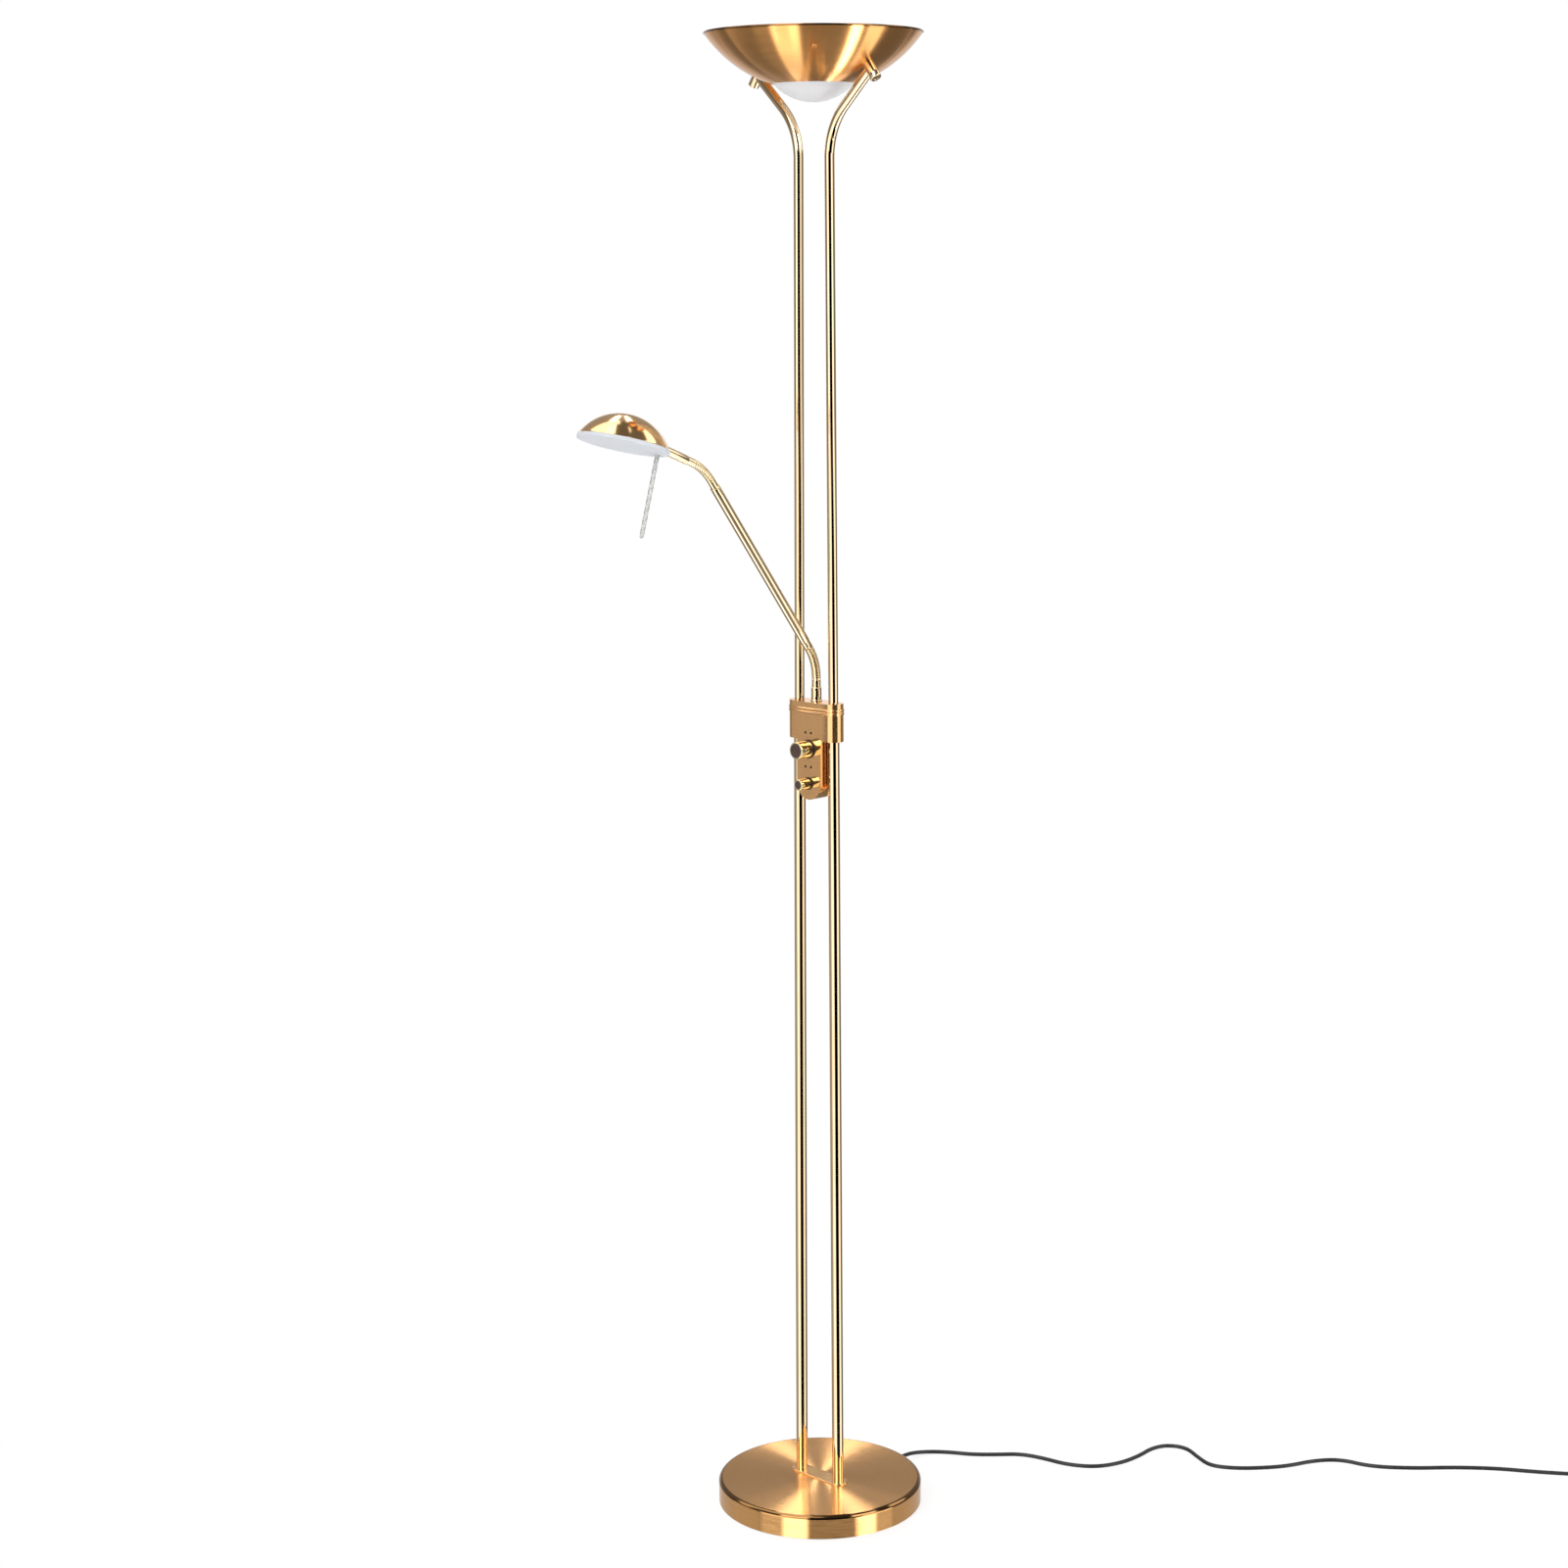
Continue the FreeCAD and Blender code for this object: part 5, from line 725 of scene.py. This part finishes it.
class ArmSpot:
    """A place on the arm's axis, in the plane x = 0, with its lean from straight up in radians."""

    def __init__(self, y, z, lean):
        self.y = y
        self.z = z
        self.lean = lean

    def ahead(self, run):
        return ArmSpot(self.y - run * math.sin(self.lean), self.z + run * math.cos(self.lean), self.lean)

    def bent(self, radius, lean):
        return ArmSpot(self.y - radius * (math.cos(self.lean) - math.cos(lean)),
                       self.z + radius * (math.sin(lean) - math.sin(self.lean)), lean)

    def matrix(self):
        return frame_at((0, self.y, self.z), (1, 0, 0), (0, -math.sin(self.lean), math.cos(self.lean)))

    def metres(self):
        return (0.0, self.y * MM, self.z * MM)


FERRULE_HEIGHT = 17.1
ARM_FOOT = ArmSpot(0.0, HOUSING_TOP + FERRULE_HEIGHT, 0.0)
LOWER_START = ARM_FOOT.ahead(LOWER_NECK_RUN)
LOWER_END = LOWER_START.bent(LOWER_NECK_BEND, LOWER_NECK_LEAN)
ARM_START = LOWER_END.ahead(LOWER_NECK_RUN)
ARM_END = ARM_START.ahead(ARM_LENGTH)
UPPER_START = ARM_END.ahead(UPPER_NECK_RUN)
UPPER_END = UPPER_START.bent(UPPER_NECK_BEND, UPPER_NECK_LEAN)
SLEEVE_START = UPPER_END.ahead(UPPER_NECK_RUN)


# Where a bead's surface lies along its length, and how far it sinks there as a share of its depth.
BEAD = ((0.0, 1.0), (0.04, 0.55), (0.09, 0.22), (0.16, 0.05), (0.3, 0.0), (0.7, 0.0), (0.84, 0.05),
        (0.91, 0.22), (0.96, 0.55))


def gooseneck(name, start, bend_start, bend, last, run, radius, ribs, replaced):
    """A flexible neck: smooth ends and close round beads along the bend."""
    depth = 0.55
    first = bend_start.lean
    end = bend_start.bent(bend, last)
    rings = [ring_at(start.ahead(run * part).matrix(), radius) for part in (0.0, 0.35, 0.7, 0.97)]
    for rib in range(ribs):
        for part, sink in BEAD:
            spot = bend_start.bent(bend, first + (last - first) * (rib + part) / ribs)
            rings.append(ring_at(spot.matrix(), radius - depth * sink))
    rings.append(ring_at(end.matrix(), radius - depth))
    rings += [ring_at(end.ahead(run * part).matrix(), radius) for part in (0.03, 0.35, 0.7, 1.0)]
    neck = mesh_piece(name, rings_to_mesh(rings), NECK, None, [replaced], sharp=60.0)
    bend_start.metres()
    end.metres()
    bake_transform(neck)


def make_ferrule():
    low = HOUSING_TOP + 0.1
    bore = 3.2
    flange = 6.8
    radius = 6.3
    profile = [(bore, low), (flange, low), (flange, low + 1.3)]
    profile += arc(flange - 0.2, low + 1.3, 0.2, 0, 90, 3)
    profile += [(6.35, low + 1.9), (radius, low + 2.2), (radius, low + 9.0), (radius, low + 16.0)]
    profile += arc(radius - 1.0, low + 16.0, 1.0, 0, 80, 6) + [(bore, low + 17.0)]
    lathe("arm_ferrule", profile, POLE, "arm_base", ["arm_socket"], segments=TUBE_STEPS)


def make_arm_rod():
    radius = 5.95
    bore = 4.95
    corner = 0.4
    parts = 12
    profile = [(bore, 0.0), (radius - corner, 0.0)] + arc(radius - corner, corner, corner, -90, 0, 4)
    profile += [(radius, ARM_LENGTH * part / parts) for part in range(1, parts)]
    profile += arc(radius - corner, ARM_LENGTH - corner, corner, 0, 90, 4) + [(bore, ARM_LENGTH)]
    lathe("arm_rod", profile, POLE, "arm", ["arm_tube"], ARM_START.matrix(), TUBE_STEPS)


def make_sleeve():
    radius = 5.35
    bore = 3.1
    corner = 0.4
    length = 59.0
    profile = [(bore, 0.0), (radius - corner, 0.0)] + arc(radius - corner, corner, corner, -90, 0, 4)
    profile += [(radius, 20.0), (radius, 40.0), (radius, length), (bore, length)]
    lathe("head_sleeve", profile, POLE, "head", ["arm_sleeve"], SLEEVE_START.matrix(),
          TUBE_STEPS)


def make_arm():
    make_ferrule()
    gooseneck("lower_neck", ARM_FOOT, LOWER_START, LOWER_NECK_BEND, LOWER_NECK_LEAN, LOWER_NECK_RUN,
              radius=5.4, ribs=14, replaced="gooseneck_lower")
    make_arm_rod()
    gooseneck("upper_neck", ARM_END, UPPER_START, UPPER_NECK_BEND, UPPER_NECK_LEAN, UPPER_NECK_RUN,
              radius=4.9, ribs=12, replaced="gooseneck_upper")
    make_sleeve()


# Reading head

TILT = math.radians(16.0)
DISC_X = Vector((1, 0, 0))
DISC_ACROSS = Vector((0, -math.cos(TILT), math.sin(TILT)))
DISC_UP = Vector((0, math.sin(TILT), math.cos(TILT)))
DISC_CENTRE = Vector((0, -305.0, 1340.0))
DISC_FRAME = frame_at(DISC_CENTRE, DISC_X, DISC_UP)


def make_dome():
    ball = 59.0
    inner = ball - 1.0
    rim = 52.4
    edge = 0.12
    sink = math.sqrt(ball ** 2 - rim ** 2)
    side = math.degrees(math.atan2(sink + edge, rim))
    inner_side = math.degrees(math.asin((sink + edge) / inner))
    profile = arc(0, -sink, ball, 90, side + 0.6, 48)
    profile += [(rim - 0.05, 0.3), (rim - 0.25, edge), (rim - 0.75, edge)]
    profile += arc(0, -sink, inner, inner_side, 90, 40)
    lathe("reading_dome", profile, SHADE, "head", ["reading_shade"], DISC_FRAME, 160,
          closed=False)


def make_disc():
    radius = 53.0
    bevel = 0.4
    corner = 0.9
    low = corner - DISC_THICKNESS
    profile = [(0, 0.0), (radius - bevel, 0.0), (radius, -bevel), (radius, low)]
    profile += arc(radius - corner, low, corner, 0, -90, 6)
    profile += [(spot, -DISC_THICKNESS) for spot in (40, 20, 0)]
    lathe("frosted_disc", profile, DISC, "head", ["reading_glass"], DISC_FRAME, 160,
          closed=False)


def make_handle():
    """The clear rod under the disc: four lobes that twist along it, and a round end."""
    length = 93.0
    pitch = 46.0
    steps = 150
    end_radius = 2.1
    end_height = 2.3
    end_steps = 6
    aside, back = 14.0, 40.5
    foot = DISC_CENTRE + DISC_X * aside - DISC_ACROSS * back
    angles = [2 * math.pi * corner / 48 for corner in range(48)]

    def ring(depth, radii):
        return [foot + (DISC_X * math.cos(angle) + DISC_ACROSS * math.sin(angle)) * radius - DISC_UP * depth
                for angle, radius in zip(angles, radii)]

    def lobe(angle):
        return 2.02 + 0.46 * abs(math.cos(2 * angle)) ** 0.8

    rings = []
    for step in range(steps + 1):
        run = length * step / steps
        turn = 2 * math.pi * run / pitch
        shrink = 0.86 if step == steps else 1.0
        rings.append(ring(DISC_THICKNESS + run, [lobe(angle - turn) * shrink for angle in angles]))
    for part in range(1, end_steps + 1):
        angle = math.radians(90 * part / end_steps)
        radius = max(end_radius * math.cos(angle), 0.02)
        depth = DISC_THICKNESS + length + end_height * math.sin(angle)
        rings.append(ring(depth, [radius] * len(angles)))
    mesh_piece("twisted_rod", rings_to_mesh(rings), ROD, "head", ["glass_handle"], sharp=70.0)


# Cord: the route's points are those of the CAD source, then the put-away coil

ROUTE = [
    (0, 135, 11), (0, 159, 11), (-6, 182.5, 5.2), (3, 205, 2.6), (23, 221, 2.6), (48, 235, 2.6),
    (71, 257, 2.6), (92, 280, 2.6), (122, 290, 2.6), (158, 295, 2.6), (190, 315, 2.6), (205, 348, 2.6),
    (207, 384, 2.6), (203, 413, 2.6), (211, 437, 2.6), (235, 447, 2.6), (263, 433, 2.6),
    (292, 421, 2.6), (318, 434, 2.6), (340, 455, 2.6), (365, 488, 2.6), (379, 527, 2.6),
    (402, 555, 2.6), (443, 562, 2.6), (487, 597, 2.6), (520, 633, 2.6), (562, 669, 2.6),
    (604, 694, 2.6), (643, 721, 2.8), (677, 742, 3.7),
]


def coil_points():
    """The put-away coil: two and a half turns inward, one layer up, and out again."""
    end = Vector(ROUTE[-1])
    way = end - Vector(ROUTE[-2])
    way.z = 0
    way.normalize()
    turns = 2.5
    pitch = 5.8
    inner = 27.5
    lead = 5.0
    per_turn = 20
    last_turn = 2 * turns + 0.25
    outer = inner + turns * pitch / 2
    start = end + way * lead
    centre = start + Vector((-way.y, way.x, 0)) * outer
    angle = math.atan2(start.y - centre.y, start.x - centre.x)
    # The curve cuts the corners between its points, so they lie a little further out.
    swell = 1.0 / math.cos(math.pi / per_turn) ** 0.5
    points = []
    for step in range(int(last_turn * per_turn) + 1):
        done = step / per_turn
        radius = outer - pitch * (turns - abs(done - turns))
        lift = min(max((done - turns) * 2 + 0.5, 0.0), 1.0)
        theta = angle + 2 * math.pi * done
        spot = centre + Vector((math.cos(theta), math.sin(theta), 0)) * radius * swell
        spot.z = ROUTE[-1][2] + pitch * lift
        points.append(spot)
    theta = angle + 2 * math.pi * last_turn
    leaving = Vector((-math.sin(theta), math.cos(theta), 0))
    last = points[-1]
    for run, height in ((6.0, 9.1), (12.0, 8.0), (18.0, 7.3), (23.0, 7.1), (27.0, 7.1)):
        spot = last + leaving * run
        spot.z = height
        points.append(spot)
    return points


def make_cord():
    points = [Vector(point) for point in ROUTE] + coil_points()
    curve = bpy.data.curves.new("mains_cord", "CURVE")
    curve.dimensions = "3D"
    curve.resolution_u = 10
    curve.bevel_depth = CORD_RADIUS * MM
    curve.bevel_resolution = 6
    curve.use_fill_caps = True
    spline = curve.splines.new("NURBS")
    spline.points.add(len(points) - 1)
    for spot, point in zip(spline.points, points):
        spot.co = (*(point * MM), 1.0)
    spline.order_u = 3
    spline.use_endpoint_u = True
    cord = bpy.data.objects.new("mains_cord", curve)
    scene.collection.objects.link(cord)
    curve.materials.append(RUBBER)
    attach(cord, "stand")
    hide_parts("cord", "cord_coil")


def make_boot():
    """The strain relief: a snap ring inside the wall, a flange outside it and six ribs that get smaller."""
    matrix = frame_at((0, 0, ROUTE[0][2]), (1, 0, 0), (0, 1, 0))
    bore = CORD_RADIUS + 0.2
    snap = 6.4
    waist = 4.5
    flange = 6.0
    corner = 0.6
    outside = BASE_RADIUS + 0.3
    profile = [(bore, 119.4), (snap, 119.4), (snap, 125.3), (waist, 125.3), (waist, outside)]
    profile += [(flange, outside), (flange, outside + 1.6)]
    profile += arc(flange - corner, outside + 1.6, corner, 0, 90, 4)
    for rib in range(6):
        at = outside + 3.0 + rib * 2.6
        radius = 5.2 - 0.28 * rib
        profile += [(radius - 0.55, at - 0.5), (radius - 0.5, at), (radius, at + 0.3)]
        profile += [(radius - 0.05, at + 1.5), (radius - 0.6, at + 1.7)]
    profile += [(3.3, outside + 19.0), (3.2, outside + 20.0), (bore, outside + 20.0)]
    lathe("cord_boot", profile, RUBBER, "stand", ["cord_relief"], matrix, 48, sharp=30.0)


# Marks and beads on the housing

def make_marks():
    """Four small printed dots beside the knobs."""
    aside = 4.6
    profile = [(0, 0.0), (1.6, 0.0), (1.6, 0.1), (0, 0.1)]
    dots = []
    for height in (979.0, 937.5):
        for side in (-1, 1):
            dots.append(turned(profile, out_of_wall(height, side * aside, gap=0.02), 20, closed=False))
    mesh_piece("dimmer_dots", joined(dots), INK, "stand")


def make_beads():
    """The two rounded beads that run round the housing, over the plain ones of the CAD model."""
    bulge = 2.4
    end = 12.2
    relief = 1.05
    half_width = 1.75
    reach = (POLE_JOIN_X ** 2 / bulge + bulge) / 2
    lean = math.degrees(math.atan2(reach - bulge, POLE_JOIN_X))
    sides = (
        (0, reach - bulge, reach + end, lean - 180, -lean, 24),
        (POLE_JOIN_X, 0, end, -lean, lean, 16),
        (0, bulge - reach, reach + end, lean, 180 - lean, 24),
        (-POLE_JOIN_X, 0, end, 180 - lean, 180 + lean, 16),
    )
    section = [(relief * math.sin(turn) - 0.1, half_width * math.cos(turn))
               for turn in (math.pi * part / 10 for part in range(11))]
    beads = []
    for drop in (8.2, 12.2):
        rings = []
        for centre_x, centre_y, radius, start, stop, steps in sides:
            for step in range(steps):
                angle = math.radians(start + (stop - start) * step / steps)
                out = Vector((math.cos(angle), math.sin(angle), 0))
                place = Vector((centre_x, centre_y, HOUSING_TOP - drop)) + out * radius
                rings.append([place + out * lift + Vector((0, 0, height)) for lift, height in section])
        rings.append(rings[0])
        beads.append(rings_to_mesh([ring + ring[:1] for ring in rings], cap=False))
    mesh_piece("housing_beads", joined(beads), HOUSING, "stand")


def dress_cad_nodes():
    for material, names in CAD_MATERIALS:
        for name in names:
            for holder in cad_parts[name].material_slots:
                holder.material = material


# Floor, light and camera

# Straight directions seen from above, for the photographer: to their right, and from the lamp to them.
RIGHT = (0.7071, 0.7071, 0.0)
TOWARD = (0.7071, -0.7071, 0.0)
WHITE_LIGHT = {"Color": (1, 1, 1, 1), "Strength": 1.0}


def seen_straight(tree, path):
    """One for rays from the camera, also through glass, and nought for other light."""
    return maths(tree, "MAXIMUM", path.outputs["Is Camera Ray"], path.outputs["Is Transmission Ray"])


def make_floor():
    """Pale paper that takes the object's shadow and turns into the white background further out.
    Metal and light rays pass it, so they meet the world's lower half."""
    reach = 300.0
    near = 0.25
    far = 1.1
    near_white = 0.84
    mesh = bpy.data.meshes.new("floor")
    corners = [(-reach, -reach, 0), (reach, -reach, 0), (reach, reach, 0), (-reach, reach, 0)]
    mesh.from_pydata(corners, [], [(0, 1, 2, 3)])
    floor = bpy.data.objects.new("floor", mesh)
    scene.collection.objects.link(floor)
    floor.visible_glossy = False
    floor.visible_shadow = False

    material, tree, where = blank_material("pale_floor")
    paper = ramp(tree, noise(tree, where, scale=1.5), [(0.3, 0.84), (0.7, 0.86)])
    matt = node(tree, "BsdfDiffuse", {"Color": paper})
    white = node(tree, "Emission", WHITE_LIGHT)
    seen = seen_straight(tree, node(tree, "LightPath"))
    distance = vector_maths(tree, "LENGTH", stretched(tree, where, 1, 1, 0))
    amount = maths(tree, "MULTIPLY", seen, spread(tree, distance, near, far, near_white, 1.0))
    blend = node(tree, "MixShader", {0: amount, 1: matt.outputs[0], 2: white.outputs[0]})
    node(tree, "OutputMaterial", {"Surface": blend.outputs[0]})
    mesh.materials.append(material)


# The level part of the photographer's line of sight, of length 1: to the upper half, and to the base.
LEVEL_SIGHT = 0.97
BASE_SIGHT = 0.917
# The studio's brightest level; the colour ramps hold shares of it.
PEAK = 8.0


def make_world():
    """A white background for the camera, for glass and, behind the object, for metal. The studio has
    tall soft boxes left and right of the photographer, a dark gap between them, and mid-grey walls."""
    world = bpy.data.worlds.new("studio")
    scene.world = world
    world.use_nodes = True
    tree = world.node_tree
    tree.nodes.clear()
    way = node(tree, "TexCoord").outputs["Generated"]
    right = vector_maths(tree, "DOT_PRODUCT", way, RIGHT)
    toward = vector_maths(tree, "DOT_PRODUCT", way, TOWARD)
    height = height_of(tree, way)

    # Half the way from the camera's side to a direction, so that bands are straight in round brass.
    def half_turn(sight):
        turn = maths(tree, "ARCTAN2", right, maths(tree, "ADD", toward, sight))
        return spread(tree, turn, -math.pi / 2, math.pi / 2, 0.0, 1.0, smooth=False)

    share = half_turn(LEVEL_SIGHT)
    base_share = half_turn(BASE_SIGHT)

    def ring(levels, across=share):
        """A belt's levels; beyond the first and the last place they stay the same."""
        return ramp(tree, across, [(0.5 + degrees / 360, level / PEAK) for degrees, level in levels])

    def turned_into(other, value, start, stop, level):
        """A level that turns into another one as a value goes from start to stop."""
        return mixed(tree, spread(tree, value, start, stop), level, other)

    # Light levels by twice the degrees to the right of the camera's side: one ring for each belt.
    under = ring([(-50, 0.33), (-46, 1.0), (-18, 1.0), (-15, 0.33), (41, 0.33), (43, 7.0), (53, 7.0),
                  (55, 0.20), (61, 0.20), (63, 1.2), (80, 1.2), (84, 0.33)])
    below = ring([(-50, 0.36), (-46, 2.8), (-18, 2.8), (-15, 0.33), (41, 0.33), (43, 7.0), (53, 7.0),
                  (55, 0.20), (61, 0.20), (63, 2.4), (80, 2.4), (84, 0.36)])
    lower = ring([(-180, 0.30), (-50, 0.20), (-46, 2.2), (-18, 2.2), (-15, 0.20), (41, 0.20),
                  (43, 7.0), (53, 7.0), (55, 0.15), (61, 0.15), (63, 2.0), (80, 2.0), (84, 0.15),
                  (180, 0.25)])
    wall = ring([(-46, 0.55), (-40, 3.4), (-18, 3.4), (-12, 0.52), (38, 0.52), (45, 3.4), (62, 3.4),
                 (68, 0.55)], base_share)
    low = ring([(-150, 0.45), (-120, 0.19), (-112, 0.19), (-109, 0.46), (-75, 0.46), (-73, 0.19),
                (-71, 0.19), (-66, 1.5), (-16, 1.5), (-13, 0.0), (46, 0.0), (49, 1.5), (84, 1.5),
                (88, 0.15), (140, 0.18), (155, 0.55), (180, 0.45)])
    even = ring([(-150, 0.50), (-120, 0.22), (-75, 0.22), (-70, 1.8), (-32, 1.8), (-29, 0.0),
                 (31, 0.0), (34, 1.8), (68, 1.8), (72, 0.15), (140, 0.30), (155, 0.60), (180, 0.50)])
    high = ring([(-106, 0.33), (-98, 2.2), (-2, 2.2), (6, 0.15), (80, 0.15), (85, 2.4), (106, 2.4),
                 (112, 0.30), (180, 0.33)])
    rear = ring([(-54, 0.36), (-51, 7.0), (-15, 7.0), (-12, 0.34), (38, 0.34), (41, 7.0), (69, 7.0),
                 (72, 0.36)], base_share)
    front = ring([(-180, 0.30), (-48, 0.12), (-44, 5.0), (-16, 5.0), (-12, 0.10), (35, 0.10),
                  (38, 5.0), (64, 5.0), (68, 0.12), (180, 0.30)], base_share)
    top = ring([(-54, 0.18), (-51, 3.2), (-12, 3.2), (-9, 0.15), (35, 0.15), (38, 3.2), (69, 3.2),
                (72, 0.18)], base_share)

    # The upper half. Its bands would meet where the base mirrors the studio's back: a plain spot there.
    plain = 0.36 / PEAK
    spot = node(tree, "CombineXYZ", {"X": right, "Y": maths(tree, "ADD", toward, BASE_SIGHT)})
    off_spot = vector_maths(tree, "LENGTH", spot.outputs[0])
    rear = turned_into(rear, off_spot, 0.06, 0.13, level=(plain, plain, plain, 1.0))
    upper = turned_into(high, toward, -0.52, -0.45, level=rear)
    near = maths(tree, "MULTIPLY", spread(tree, toward, 0.0, 0.12), spread(tree, height, 0.76, 0.68))
    upper = mixed(tree, near, upper, front)

    # From straight down to straight up. The base's wall mirrors the narrow wall belt alone.
    level = turned_into(below, toward, -0.25, 0.0, level=under)
    level = turned_into(lower, height, -0.82, -0.76, level)
    level = turned_into(low, height, -0.66, -0.60, level)
    strip = maths(tree, "MULTIPLY", spread(tree, height, -0.420, -0.412),
                  spread(tree, height, -0.378, -0.386))
    level = mixed(tree, strip, level, wall)
    level = turned_into(even, height, -0.09, -0.04, level)
    level = turned_into(upper, height, 0.14, 0.22, level)
    level = turned_into(top, height, 0.93, 0.97, level)

    studio = node(tree, "Background", {"Color": level, "Strength": PEAK})
    white = node(tree, "Background", WHITE_LIGHT)
    path = node(tree, "LightPath")
    behind = maths(tree, "MULTIPLY", spread(tree, toward, -0.80, -0.95), spread(tree, height, 0.28, 0.20))
    behind = maths(tree, "MULTIPLY", behind, spread(tree, height, 0.0, 0.08, 0.4, 1.0))
    glossy = maths(tree, "MULTIPLY", path.outputs["Is Glossy Ray"], behind)
    seen = maths(tree, "MAXIMUM", seen_straight(tree, path), glossy)
    blend = node(tree, "MixShader", {0: seen, 1: studio.outputs[0], 2: white.outputs[0]})
    node(tree, "OutputWorld", {"Surface": blend.outputs[0]})


def make_camera():
    """The photographer's camera: place in metres, and turn, tilt and roll in degrees."""
    place = (2.5068, -2.5602, 1.537)
    turn, tilt, roll = 45.03, 80.15, -0.37
    lens = bpy.data.cameras.new("camera")
    lens.sensor_width = 36.0
    lens.lens = 69.03
    lens.clip_end = 600.0
    camera = bpy.data.objects.new("camera", lens)
    scene.collection.objects.link(camera)
    matrix = Matrix.Translation(place)
    for degrees, axis in ((turn, "Z"), (tilt, "X"), (roll, "Z")):
        matrix = matrix @ Matrix.Rotation(math.radians(degrees), 4, axis)
    camera.matrix_world = matrix
    scene.camera = camera


make_base_cover()
make_foot_bar()
make_poles()
make_bowl()
make_dish()
make_rivets()
make_knobs()
make_knob_rings()
make_arm()
make_dome()
make_disc()
make_handle()
make_cord()
make_boot()
make_marks()
make_beads()
dress_cad_nodes()
make_floor()
make_world()
make_camera()
scene.view_settings.view_transform = "Standard"
